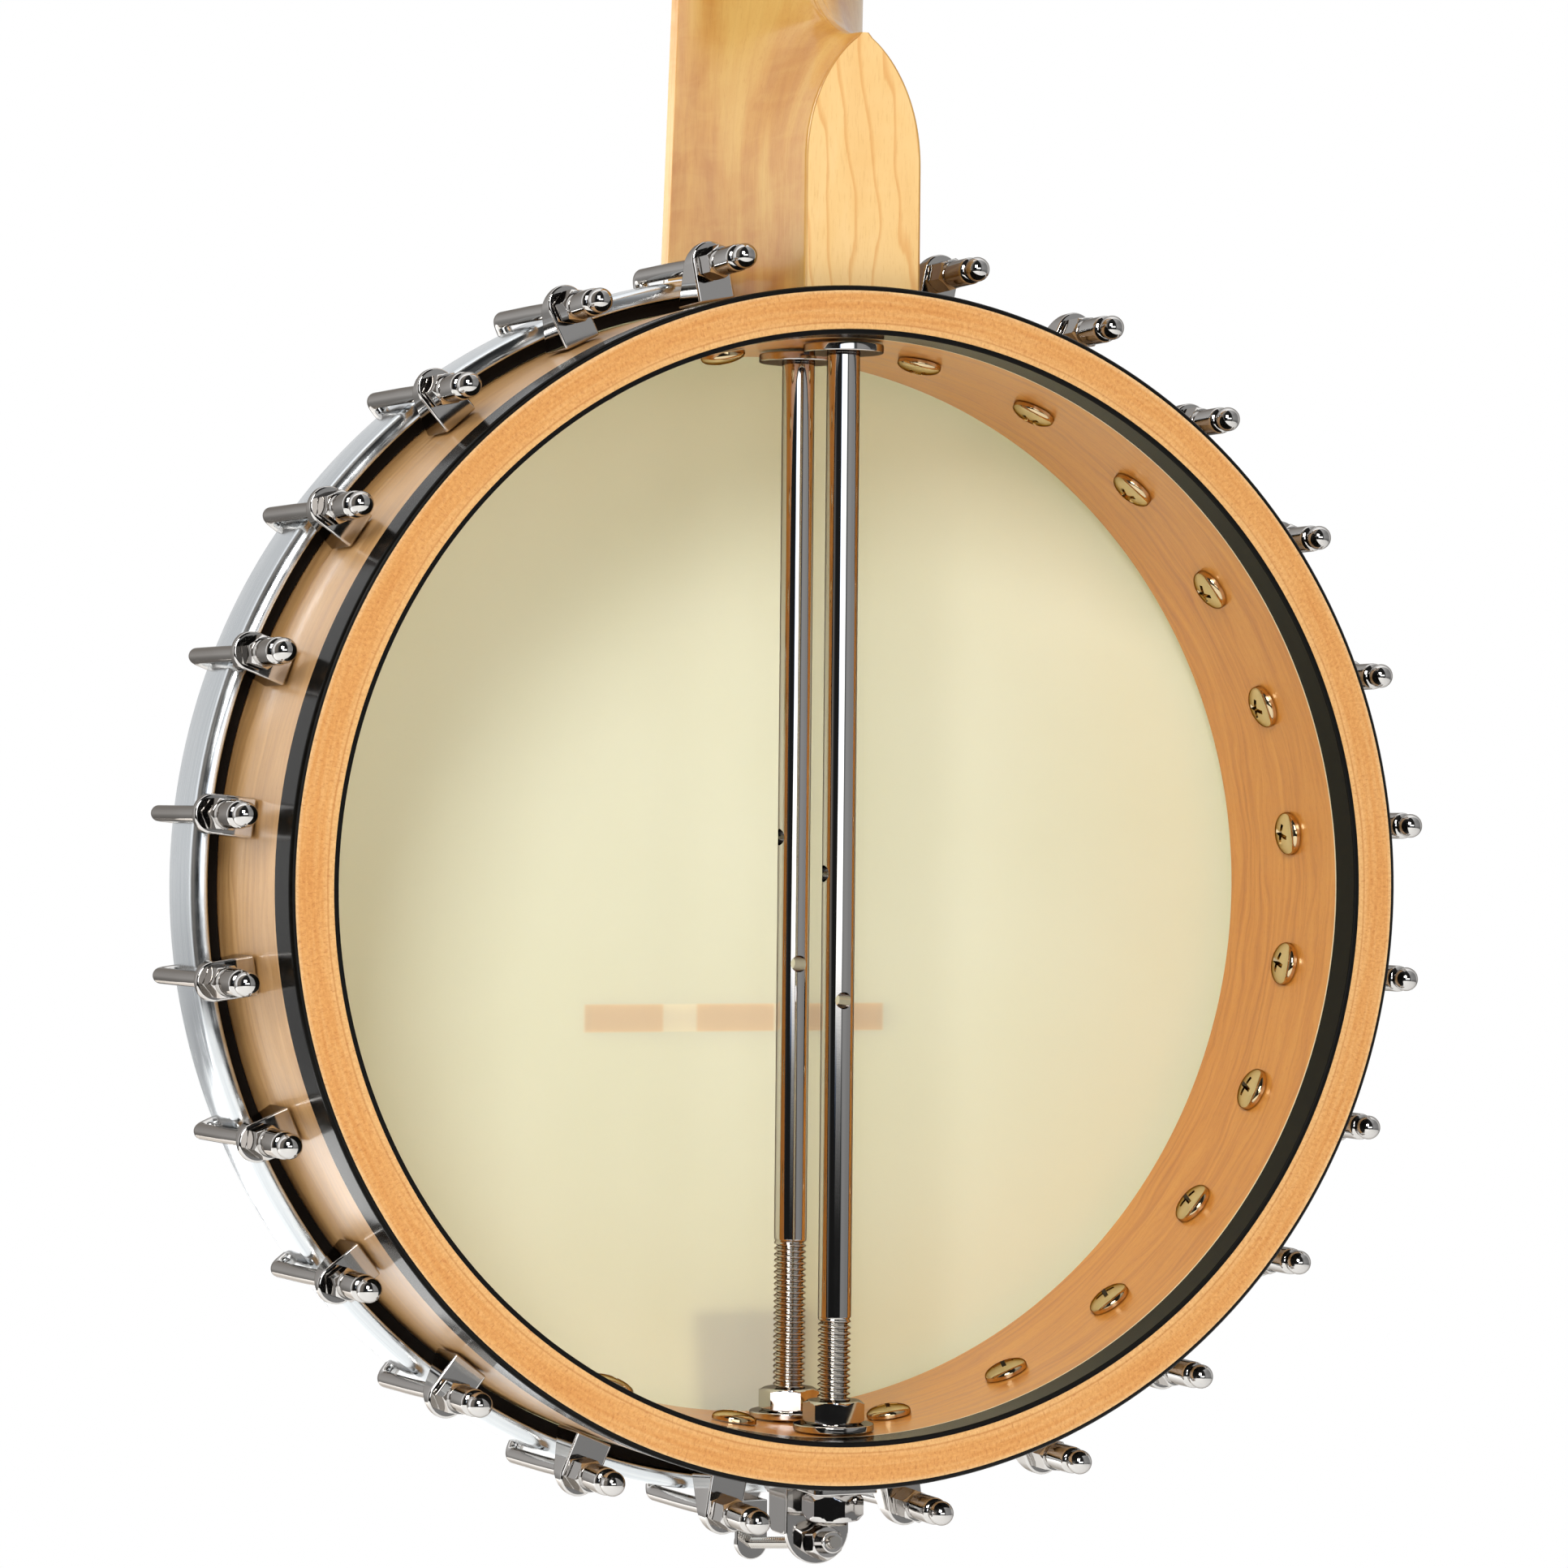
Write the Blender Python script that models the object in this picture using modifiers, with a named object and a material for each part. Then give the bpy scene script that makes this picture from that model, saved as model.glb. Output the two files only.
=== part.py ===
"""Open-back five-string banjo: the wooden pot with its drum head, the tension hardware,
the neck, the strings and the geared tuners. Units are metres and +Z is up.

Every piece is laid out in the pot frame: the origin lies on the pot's axis in the rim's back
plane, -Y looks out of the drum head and +Z runs up the neck. One empty then moves the whole
banjo so that the world's origin is where a wall hanger's yoke holds the peghead.
"""

from math import cos, pi, radians, sin, sqrt, tan

import bmesh
import bpy
from mathutils import Matrix, Vector

MM = 0.001

# The pot, as radii about its axis and heights along Y
RING_STEPS = 60
EDGE_BREAK = 0.5 * MM
RIM_OUTER_RADIUS = 139.7 * MM
RIM_INNER_RADIUS = 128.3 * MM
RIM_FRONT_Y = -63.1 * MM
TONE_RING_RADIUS = 134.3 * MM
TONE_RING_WIRE = 3.175 * MM
TONE_RING_SIDES = 6
HEAD_FRONT_Y = -70.55 * MM
HEAD_FILM = 0.45 * MM
HEAD_SKIRT_RADIUS = 140.5 * MM
HEAD_BEND = 1.6 * MM
FLESH_HOOP_RADIUS = 142.9 * MM
FLESH_HOOP_Y = (-56.5 * MM, -62.1 * MM)
HOOP_OUTER_RADIUS = 147.6 * MM
HOOP_INNER_RADIUS = 143.2 * MM
HOOP_LEDGE_RADIUS = 140.9 * MM
HOOP_BACK_Y = -52.7 * MM
HOOP_LEDGE_Y = -62.5 * MM
HOOP_FRONT_Y = -71.9 * MM

# The brackets, evenly spaced down each side from the one beside the neck
BRACKETS_A_SIDE = 12
BRACKET_FIRST = radians(11.5)
BRACKET_STEP = radians(14.5)
SHOE_BASE_RADIUS = 140.2 * MM
SHOE_ARCH_CENTRE = 149.8 * MM
SHOE_ARCH_RADIUS = 4.6 * MM
SHOE_BACK_Y = -28.0 * MM
SHOE_FRONT_Y_AT_BASE = -42.2 * MM
SHOE_FRONT_Y_AT_TOP = -30.5 * MM
HOOK_RADIUS = 1.9 * MM
HOOK_AXIS_AT_NUT = 148.7 * MM
HOOK_AXIS_AT_HOOP = 149.9 * MM
HOOK_AXIS_AT_BEND = 150.4 * MM
HOOK_LEG_Y = -74.2 * MM
HOOK_LEG_END_RADIUS = 144.6 * MM
HOOK_START_Y = -26.3 * MM
HOOK_BEND = 2.4 * MM
NUT_HEX_Y = (-28.3 * MM, -20.5 * MM)
NUT_HEX_RADIUS = 4.0 * MM
NUT_COLLAR_RADIUS = 3.0 * MM
NUT_COLLAR_Y = (-21.0 * MM, -11.0 * MM)
NUT_NECK_RADIUS = 1.9 * MM
NUT_NECK_Y = -9.4 * MM
NUT_BALL_RADIUS = 2.9 * MM
NUT_BALL_Y = -7.4 * MM
BOLT_Y = -30.8 * MM
BOLT_ENGAGEMENT = 2.0 * MM
BOLT_RADIUS = 2.4 * MM
BOLT_HOLE_RADIUS = 2.9 * MM
BOLT_HEAD_RADIUS = 5.3 * MM
BOLT_HEAD_SEAT = 127.9 * MM
BOLT_HEAD_RIM = 126.2 * MM
BOLT_HEAD_CROWN_RADIUS = 4.6 * MM
BOLT_HEAD_TOP = 125.3 * MM

# The two coordinator rods across the pot
ROD_RADIUS = 3.9 * MM
ROD_HOLE_RADIUS = 4.4 * MM
ROD_FRONT_Y = -45.0 * MM
ROD_BACK_Y = -17.9 * MM
ROD_LAG_TOP_Z = 165.0 * MM
ROD_WASHER_Z = (125.4 * MM, 127.4 * MM)
ROD_WASHER_RADIUS = 9.5 * MM
ROD_NUT_Z = (-126.1 * MM, -120.6 * MM)
ROD_NUT_WASHER_Z = (-127.6 * MM, -125.9 * MM)
ROD_NUT_RADIUS = 7.3 * MM
ROD_NUT_BORE = 4.3 * MM
ROD_END_NUT_RADIUS = {"front": 5.8 * MM, "back": 7.3 * MM}
ROD_END_NUT_Z = {"front": (-145.6 * MM, -140.2 * MM), "back": (-148.6 * MM, -142.3 * MM)}
ROD_END_Z = {"front": -147.0 * MM, "back": -149.7 * MM}
ROD_CROSS_HOLES_Z = {"front": (11.4 * MM, -18.9 * MM), "back": (3.0 * MM, -26.7 * MM)}
ROD_LAG_HOLE_Z = (130.0 * MM, 167.0 * MM)
CROSS_HOLE_RADIUS = 2.0 * MM

# The tailpiece, its hanger and its screw
HANGER_HALF_WIDTH = 8.0 * MM
HANGER_SHEET = 1.6 * MM
HANGER_TOP_Z = -140.2 * MM
HANGER_TOP_Y = -9.0 * MM
HANGER_WALL_Y = -27.6 * MM
HANGER_ARC_Z = -152.4 * MM
HANGER_CHEEK_Y = -38.0 * MM
HANGER_CHEEK_BOTTOM_Z = -153.5 * MM
HANGER_CHEEK_CORNER = 4.0 * MM
HANGER_OVERLAP = 0.1 * MM
HANGER_ROD_HOLE_Z = (-137.0 * MM, -145.0 * MM)
HANGER_SCREW_HOLE_Y = (-31.0 * MM, -24.0 * MM)
SCREW_AXIS_Z = -155.4 * MM
SCREW_TILT = radians(8.0)
SCREW_RADIUS = 1.45 * MM
SCREW_HOLE_RADIUS = 2.0 * MM
SCREW_ENDS_Y = (-71.0 * MM, -13.0 * MM)
SCREW_HEAD_RADIUS = 3.4 * MM
SCREW_HEAD_Y = (-71.4 * MM, -69.3 * MM)
SCREW_NUT_RADIUS = 4.2 * MM
SCREW_NUT_Y = (-26.2 * MM, -20.4 * MM)
SCREW_COLLAR_RADIUS = 2.6 * MM
SCREW_COLLAR_Y = (-21.0 * MM, -17.4 * MM)
TAIL_OVERLAP = 0.2 * MM
TAIL_TAB_Y = (-68.8 * MM, -67.2 * MM)
TAIL_TAB_HALF_WIDTH = 4.0 * MM
TAIL_STRAP_Z = (-152.4 * MM, -150.6 * MM)
TAIL_PLATE_Y = (-75.6 * MM, -74.0 * MM)
TAIL_PLATE_END_Z = -104.0 * MM
TAIL_PLATE_HALF_WIDTH = 15.5 * MM
TAIL_PLATE_SHOULDERS = ((8.0 * MM, -146.0 * MM), (14.5 * MM, -127.0 * MM))
TAIL_BAR_Y = -79.6 * MM
TAIL_BAR_Z = -110.0 * MM
TAIL_BAR_ROOT = 0.8 * MM

# The neck, measured up the fingerboard from its end at the pot
SCALE_LENGTH = 665.0 * MM
FRET_COUNT = 22
NECK_PITCH = radians(2.2)
BOARD_END_Z = 148.4 * MM
BOARD_END_Y = -74.0 * MM
BOARD_THICKNESS = 5.0 * MM
BOARD_LENGTH = 483.2 * MM
GLUE_GAP = 0.3 * MM
HALF_WIDTH_AT_POT = 24.6 * MM
HALF_WIDTH_AT_NUT = 16.0 * MM
BASS_HALF_WIDTH_AT_FIFTH = 22.5 * MM
SHOULDER_START = 340.0 * MM
SHOULDER_END = 361.0 * MM
BASS_HALF_WIDTH_ABOVE_FIFTH = 16.8 * MM
NECK_DEPTH_AT_HEEL = 25.5 * MM
NECK_DEPTH_AT_NUT = 20.5 * MM
HEEL_BACK_Y = -7.0 * MM
HEEL_CAP_HALF_WIDTH = 14.8 * MM
HEEL_CAP_ARCH_Z = 168.0 * MM
HEEL_CAP_TOP_Z = 199.5 * MM
HEEL_CURVE_END_Z = 242.0 * MM
KEEL_HALF_WIDTH = 1.2 * MM
HEEL_RIM_GAP = 0.45 * MM
HEEL_HOOP_GAP = 0.6 * MM
HEEL_CUT_Y = (10.0 * MM, -90.0 * MM)
NUT_LENGTH = 5.0 * MM
NUT_RISE = 1.5 * MM
NUT_BACK_RISE = 0.2 * MM
NUT_LAND = 1.2 * MM
FRET_HALF_WIDTH = 1.1 * MM
FRET_HEIGHT = 1.0 * MM
FRET_INSET = 0.4 * MM

# The peghead, measured up its face from the nut
PEGHEAD_TILT = NECK_PITCH + radians(14.0)
PEGHEAD_DROP = 2.0 * MM
PEGHEAD_THICKNESS = 14.0 * MM
OVERLAY_THICKNESS = 2.0 * MM
PEGHEAD_LENGTH = 152.0 * MM

# Bridge and strings
BRIDGE_X = 4.5 * MM
BRIDGE_HALF_LENGTH = 39.3 * MM
BRIDGE_FOOT_LENGTH = 20.2 * MM
BRIDGE_HEIGHT = 15.9 * MM
BRIDGE_SIDE = ((37.8 * MM, 9.5 * MM), (31.3 * MM, 12.6 * MM), (22.5 * MM, 15.9 * MM))
BRIDGE_ARCH_HEIGHT = 5.0 * MM
BRIDGE_HEAD_GAP = 0.3 * MM
BRIDGE_FOOT_THICKNESS = 6.6 * MM
BRIDGE_TOP_THICKNESS = 2.4 * MM
STRING_CLEARANCE = 0.3 * MM
STRING_TAIL_Y = -78.2 * MM
STRING_TAIL_Z = -103.6 * MM
STRING_RADII = (0.13 * MM, 0.15 * MM, 0.18 * MM, 0.28 * MM, 0.13 * MM)
BRIDGE_SPACING = 10.5 * MM
NUT_SPACING = 7.5 * MM
TAIL_STRINGS_X = 2.5 * MM
TAIL_SPACING = 5.6 * MM
FIFTH_STRING_X = -19.9 * MM
FIFTH_STOP_ABOVE_FRET = 4.0 * MM
FIFTH_EDGE_ABOVE_FRET = 9.0 * MM
FIFTH_STRING_OUT = 4.8 * MM
STRING_POST_GAP = 0.5 * MM

# The tuners, measured along their axes from the face they are fastened to
TUNER_SIDES = 10
TUNER_X = 22.0 * MM
TUNER_ROWS = (52.0 * MM, 104.0 * MM)
TUNER_HOLE_RADIUS = 5.1 * MM
TUNER_CAN_RADIUS = 8.0 * MM
TUNER_CAN_DEPTH = 15.0 * MM
TUNER_CAN_BEVEL = 2.0 * MM
TUNER_CAN_FLOOR = 3.6 * MM
TUNER_SEAT_GAP = 0.4 * MM
TUNER_BUSH_RADIUS = 4.7 * MM
TUNER_RING_RADII = (6.8 * MM, 5.4 * MM)
TUNER_RING_HEIGHT = 3.0 * MM
POST_RADIUS = 3.0 * MM
POST_HEIGHT = 17.0 * MM
POST_BASE = 3.0 * MM
POST_EDGE = 0.8 * MM
POST_WAIST_HALF_LENGTH = 3.0 * MM
POST_WAIST_SHARE = 0.85
POST_BORE_RADIUS = 3.4 * MM
SHAFT_RADIUS = 2.1 * MM
SHAFT_BORE_RADIUS = 2.5 * MM
SHAFT_START = 5.0 * MM
BUTTON_SIZE = (9.5 * MM, 5.5 * MM, 9.0 * MM)
BUTTON_GAP = 2.4 * MM
STRING_AT_POST = 22.6 * MM
FIFTH_PEG_ABOVE_FRET = 15.4 * MM
FIFTH_PEG_DEPTH = 7.6 * MM
FIFTH_PEG_HOLE_RADIUS = 3.1 * MM
FIFTH_STUD_RADIUS = 2.75 * MM
FIFTH_STUD_LENGTH = 12.0 * MM
FIFTH_SEAT_RADIUS = 4.2 * MM
FIFTH_SEAT_HEIGHT = 0.9 * MM
FIFTH_AXLE_RADIUS = 1.5 * MM
FIFTH_CAN_RADII = (6.8 * MM, 5.4 * MM)
FIFTH_CAN_OUT = (9.2 * MM, 20.5 * MM)
FIFTH_SHAFT_DEPTH = 6.0 * MM
FIFTH_BORE_DEPTH = 7.0 * MM
SPOOL_RADIUS = 3.4 * MM
SPOOL_RIM_RADIUS = 4.6 * MM
SPOOL_OUT = (1.3 * MM, 8.8 * MM)
SPOOL_RIM = 1.2 * MM
SPOOL_BORE_RADIUS = 1.9 * MM

# Where a wall hanger's yoke holds the banjo
YOKE_Y = -45.0 * MM
YOKE_Z = 643.0 * MM

MATERIALS = {
    "maple": ((0.80, 0.52, 0.25), 0.35, 0.0),
    "dark_wood": ((0.05, 0.03, 0.02), 0.45, 0.0),
    "plated": ((0.75, 0.75, 0.76), 0.15, 1.0),
    "satin_nickel": ((0.62, 0.62, 0.60), 0.30, 1.0),
    "film": ((0.86, 0.82, 0.72), 0.55, 0.0),
    "bone": ((0.90, 0.87, 0.78), 0.40, 0.0),
    "steel": ((0.72, 0.72, 0.72), 0.25, 1.0),
    "pearl": ((0.88, 0.87, 0.83), 0.25, 0.0),
}


def clear_scene():
    for obj in list(bpy.data.objects):
        bpy.data.objects.remove(obj, do_unlink=True)


clear_scene()
scene = bpy.context.scene
banjo = bpy.data.collections.new("banjo")
scene.collection.children.link(banjo)
cutters = bpy.data.collections.new("banjo_cutters")
scene.collection.children.link(cutters)
pot_frame = bpy.data.objects.new("pot_frame", None)
pot_frame.location = (0.0, -YOKE_Y, -YOKE_Z)
banjo.objects.link(pot_frame)


# ---------------------------------------------------------------- modelling helpers

def material(finish, name):
    colour, roughness, metallic = MATERIALS[finish]
    made = bpy.data.materials.new(name)
    made.use_nodes = True
    shader = made.node_tree.nodes["Principled BSDF"]
    shader.inputs["Base Color"].default_value = (*colour, 1.0)
    shader.inputs["Roughness"].default_value = roughness
    shader.inputs["Metallic"].default_value = metallic
    return made


def loose(mesh, name="shape"):
    """An object that is only used to build others."""
    obj = bpy.data.objects.new(name, mesh)
    cutters.objects.link(obj)
    obj.hide_render = True
    obj.display_type = "WIRE"
    return obj


def piece(name, obj, finish, smooth=True):
    """Turns a built object into a part of the banjo."""
    obj.name = name
    obj.data.name = name
    cutters.objects.unlink(obj)
    banjo.objects.link(obj)
    obj.hide_render = False
    obj.display_type = "TEXTURED"
    obj.parent = pot_frame
    obj.data.materials.clear()
    obj.data.materials.append(material(finish, name))
    if smooth:
        obj.data.shade_smooth()
        obj.data.set_sharp_from_angle(angle=radians(40))
    return obj


def frozen(obj):
    """The object's mesh with its modifiers applied and its place kept, caps welded."""
    bpy.context.view_layer.update()
    graph = bpy.context.evaluated_depsgraph_get()
    mesh = bpy.data.meshes.new_from_object(obj.evaluated_get(graph))
    work = bmesh.new()
    work.from_mesh(mesh)
    bmesh.ops.remove_doubles(work, verts=work.verts, dist=1e-7)
    work.to_mesh(mesh)
    work.free()
    made = loose(mesh)
    made.matrix_world = obj.matrix_world.copy()
    bpy.data.objects.remove(obj, do_unlink=True)
    return made


def baked(obj, matrix=None):
    """Moves the object's place, and a further matrix, into its mesh."""
    obj.data.transform((matrix or Matrix.Identity(4)) @ obj.matrix_basis)
    obj.matrix_basis = Matrix.Identity(4)
    return obj


def boolean(obj, other, operation):
    step = obj.modifiers.new(operation.lower(), "BOOLEAN")
    step.operation = operation
    step.solver = "EXACT"
    step.object = other


def joined(first, *others):
    """One solid out of overlapping ones."""
    for other in others:
        boolean(first, other, "UNION")
    made = frozen(first)
    for other in others:
        bpy.data.objects.remove(other, do_unlink=True)
    return made


def cut(obj, *holes):
    for hole in holes:
        boolean(obj, hole, "DIFFERENCE")
    made = frozen(obj)
    for hole in holes:
        bpy.data.objects.remove(hole, do_unlink=True)
    return made


def box(low, high):
    work = bmesh.new()
    bmesh.ops.create_cube(work, size=1.0)
    size = Vector(high) - Vector(low)
    middle = (Vector(high) + Vector(low)) / 2
    work_matrix = Matrix.Translation(middle) @ Matrix.Diagonal((*size, 1.0))
    bmesh.ops.transform(work, matrix=work_matrix, verts=work.verts)
    mesh = bpy.data.meshes.new("box")
    work.to_mesh(mesh)
    work.free()
    return loose(mesh)


def cylinder(radius, start, end, sides):
    """A round or many-sided bar between two points."""
    start, end = Vector(start), Vector(end)
    work = bmesh.new()
    bmesh.ops.create_cone(work, cap_ends=True, segments=sides, radius1=radius, radius2=radius,
                          depth=(end - start).length)
    turn = (end - start).to_track_quat("Z", "Y").to_matrix().to_4x4()
    bmesh.ops.transform(work, matrix=Matrix.Translation((start + end) / 2) @ turn, verts=work.verts)
    mesh = bpy.data.meshes.new("bar")
    work.to_mesh(mesh)
    work.free()
    return loose(mesh)


def group_of(shapes):
    """Separate shapes in one mesh, to cut them all at once."""
    work = bmesh.new()
    for shape in shapes:
        work.from_mesh(shape.data)
        bpy.data.objects.remove(shape, do_unlink=True)
    mesh = bpy.data.meshes.new("group")
    work.to_mesh(mesh)
    work.free()
    return loose(mesh)


def turned(profile, steps, closed):
    """A profile of (radius, height) points turned about local Z, down its outer side."""
    mesh = bpy.data.meshes.new("profile")
    points = [(radius, 0.0, height) for radius, height in profile]
    edges = [(i, i + 1) for i in range(len(points) - 1)]
    if closed:
        edges.append((len(points) - 1, 0))
    mesh.from_pydata(points, edges, [])
    obj = loose(mesh)
    screw = obj.modifiers.new("turn", "SCREW")
    screw.angle = 2 * pi
    screw.steps = steps
    screw.render_steps = steps
    screw.use_merge_vertices = True
    screw.merge_threshold = 1e-6
    screw.use_normal_calculate = False
    return frozen(obj)


ABOUT_Y = Matrix.Rotation(-pi / 2, 4, "X")


def turned_about_pot_axis(profile, closed=True):
    """Heights run along the pot's Y axis."""
    return baked(turned(profile, RING_STEPS, closed), ABOUT_Y)


def plate(outline, thickness):
    """A flat outline in local XY with its thickness centred on Z."""
    curve = bpy.data.curves.new("outline", "CURVE")
    curve.dimensions = "2D"
    curve.fill_mode = "BOTH"
    curve.extrude = thickness / 2
    spline = curve.splines.new("POLY")
    spline.points.add(len(outline) - 1)
    for point, (x, y) in zip(spline.points, outline):
        point.co = (x, y, 0.0, 1.0)
    spline.use_cyclic_u = True
    return frozen(loose(curve))


FACING_Y = Matrix.Rotation(pi / 2, 4, "X")
FACING_X = Matrix(((0, 0, 1, 0), (1, 0, 0, 0), (0, 1, 0, 0), (0, 0, 0, 1)))


def plate_xz(outline, y_range):
    """The outline's points are (x, z)."""
    low, high = sorted(y_range)
    shape = plate(outline, high - low)
    return baked(shape, Matrix.Translation((0.0, (low + high) / 2, 0.0)) @ FACING_Y)


def plate_yz(outline, x_range):
    """The outline's points are (y, z)."""
    low, high = sorted(x_range)
    shape = plate(outline, high - low)
    return baked(shape, Matrix.Translation(((low + high) / 2, 0.0, 0.0)) @ FACING_X)


def wire(points, radius, resolution=2):
    """A round wire through the points."""
    curve = bpy.data.curves.new("wire", "CURVE")
    curve.dimensions = "3D"
    curve.bevel_depth = radius
    curve.bevel_resolution = resolution
    curve.use_fill_caps = True
    spline = curve.splines.new("POLY")
    spline.points.add(len(points) - 1)
    for point, place in zip(spline.points, points):
        point.co = (*place, 1.0)
    return frozen(loose(curve))


def arc(centre, radius, start, end, steps):
    """Points (x, y) on an arc, ends included; angles in degrees from +X."""
    angles = [radians(start + (end - start) * i / steps) for i in range(steps + 1)]
    return [(centre[0] + radius * cos(a), centre[1] + radius * sin(a)) for a in angles]


def blend(a, b, t):
    return a + (b - a) * max(0.0, min(1.0, t))


def smooth_step(t):
    t = max(0.0, min(1.0, t))
    return t * t * (3.0 - 2.0 * t)


# ---------------------------------------------------------------- pot

def bracket_angles():
    """Angles from +Z towards +X, down one side and then the other."""
    side = [BRACKET_FIRST + BRACKET_STEP * k for k in range(BRACKETS_A_SIDE)]
    return side + [-angle for angle in side]


def make_rim():
    profile = [
        (RIM_OUTER_RADIUS - EDGE_BREAK, 0.0),
        (RIM_OUTER_RADIUS, -EDGE_BREAK),
        (RIM_OUTER_RADIUS, RIM_FRONT_Y),
        (RIM_INNER_RADIUS, RIM_FRONT_Y),
        (RIM_INNER_RADIUS, 0.0),
    ]
    rim = turned_about_pot_axis(profile)
    inside, outside = RIM_INNER_RADIUS - 4 * MM, RIM_OUTER_RADIUS + 4 * MM
    holes = []
    for angle in bracket_angles():
        turn = Matrix.Rotation(angle, 4, "Y")
        ends = [turn @ Vector((0.0, BOLT_Y, radius)) for radius in (inside, outside)]
        holes.append(cylinder(BOLT_HOLE_RADIUS, *ends, 6))
    for y in (ROD_FRONT_Y, ROD_BACK_Y):
        for side in (1, -1):
            ends = [(0.0, y, side * inside), (0.0, y, side * outside)]
            holes.append(cylinder(ROD_HOLE_RADIUS, *ends, 8))
    piece("rim", cut(rim, group_of(holes)), "maple")


def make_tone_ring():
    y = RIM_FRONT_Y - GLUE_GAP - TONE_RING_WIRE
    turn = [-2 * pi * i / TONE_RING_SIDES for i in range(TONE_RING_SIDES)]
    profile = [(TONE_RING_RADIUS + TONE_RING_WIRE * cos(a), y + TONE_RING_WIRE * sin(a)) for a in turn]
    piece("tone_ring", turned_about_pot_axis(profile), "plated")


def make_head():
    """The flat of the drum head; its turned-down edge is crimped into the flesh hoop."""
    back, radius = HEAD_FRONT_Y + HEAD_FILM, HEAD_SKIRT_RADIUS - HEAD_BEND - HEAD_FILM / 2
    profile = [(0.0, back), (radius, back), (radius, HEAD_FRONT_Y), (0.0, HEAD_FRONT_Y)]
    piece("head", turned_about_pot_axis(profile, closed=False), "film")


def make_flesh_hoop():
    """The hoop and the edge of the film that it holds."""
    outer, skirt = FLESH_HOOP_RADIUS, HEAD_SKIRT_RADIUS
    back, front = FLESH_HOOP_Y
    profile = [
        (outer, back),
        (outer, front),
        (skirt, front),
        (skirt, HEAD_FRONT_Y + HEAD_BEND),
        (skirt - HEAD_BEND + HEAD_FILM / 2, HEAD_FRONT_Y + HEAD_FILM / 2),
        (skirt - HEAD_FILM, HEAD_FRONT_Y + HEAD_BEND),
        (skirt - HEAD_FILM, back),
    ]
    piece("flesh_hoop", turned_about_pot_axis(profile), "steel")


def make_tension_hoop():
    profile = [
        (HOOP_OUTER_RADIUS - EDGE_BREAK, HOOP_BACK_Y),
        (HOOP_OUTER_RADIUS, HOOP_BACK_Y - EDGE_BREAK),
        (HOOP_OUTER_RADIUS, HOOP_FRONT_Y + EDGE_BREAK),
        (HOOP_OUTER_RADIUS - EDGE_BREAK, HOOP_FRONT_Y),
        (HOOP_LEDGE_RADIUS, HOOP_FRONT_Y),
        (HOOP_LEDGE_RADIUS, HOOP_LEDGE_Y),
        (HOOP_INNER_RADIUS, HOOP_LEDGE_Y),
        (HOOP_INNER_RADIUS, HOOP_BACK_Y),
    ]
    piece("tension_hoop", turned_about_pot_axis(profile), "satin_nickel")


def hook_path():
    """The bracket hook's centre line from inside its nut to over the hoop, as (x, y, z)."""
    bend = HOOK_BEND
    return [
        (0.0, HOOK_START_Y, blend(HOOK_AXIS_AT_NUT, HOOK_AXIS_AT_HOOP, 0.25)),
        (0.0, HOOP_BACK_Y, HOOK_AXIS_AT_HOOP),
        (0.0, HOOK_LEG_Y + bend, HOOK_AXIS_AT_BEND),
        (0.0, HOOK_LEG_Y + 0.3 * bend, HOOK_AXIS_AT_BEND - 0.3 * bend),
        (0.0, HOOK_LEG_Y, HOOK_AXIS_AT_BEND - bend),
        (0.0, HOOK_LEG_Y, HOOK_LEG_END_RADIUS),
    ]


def make_shoe():
    """An arched block with an upright back face; its front slopes out to a long foot on the rim."""
    arch = arc((0.0, SHOE_ARCH_CENTRE), SHOE_ARCH_RADIUS, 0, 180, 6)
    base = [(-SHOE_ARCH_RADIUS, SHOE_BASE_RADIUS), (SHOE_ARCH_RADIUS, SHOE_BASE_RADIUS)]
    shoe = plate_xz(arch + base, (SHOE_FRONT_Y_AT_BASE, SHOE_BACK_Y))
    top = SHOE_ARCH_CENTRE + SHOE_ARCH_RADIUS
    for vertex in shoe.data.vertices:
        if vertex.co.y < SHOE_BACK_Y - 1 * MM:
            rise = (vertex.co.z - SHOE_BASE_RADIUS) / (top - SHOE_BASE_RADIUS)
            vertex.co.y = blend(SHOE_FRONT_Y_AT_BASE, SHOE_FRONT_Y_AT_TOP, rise)
    return shoe


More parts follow.
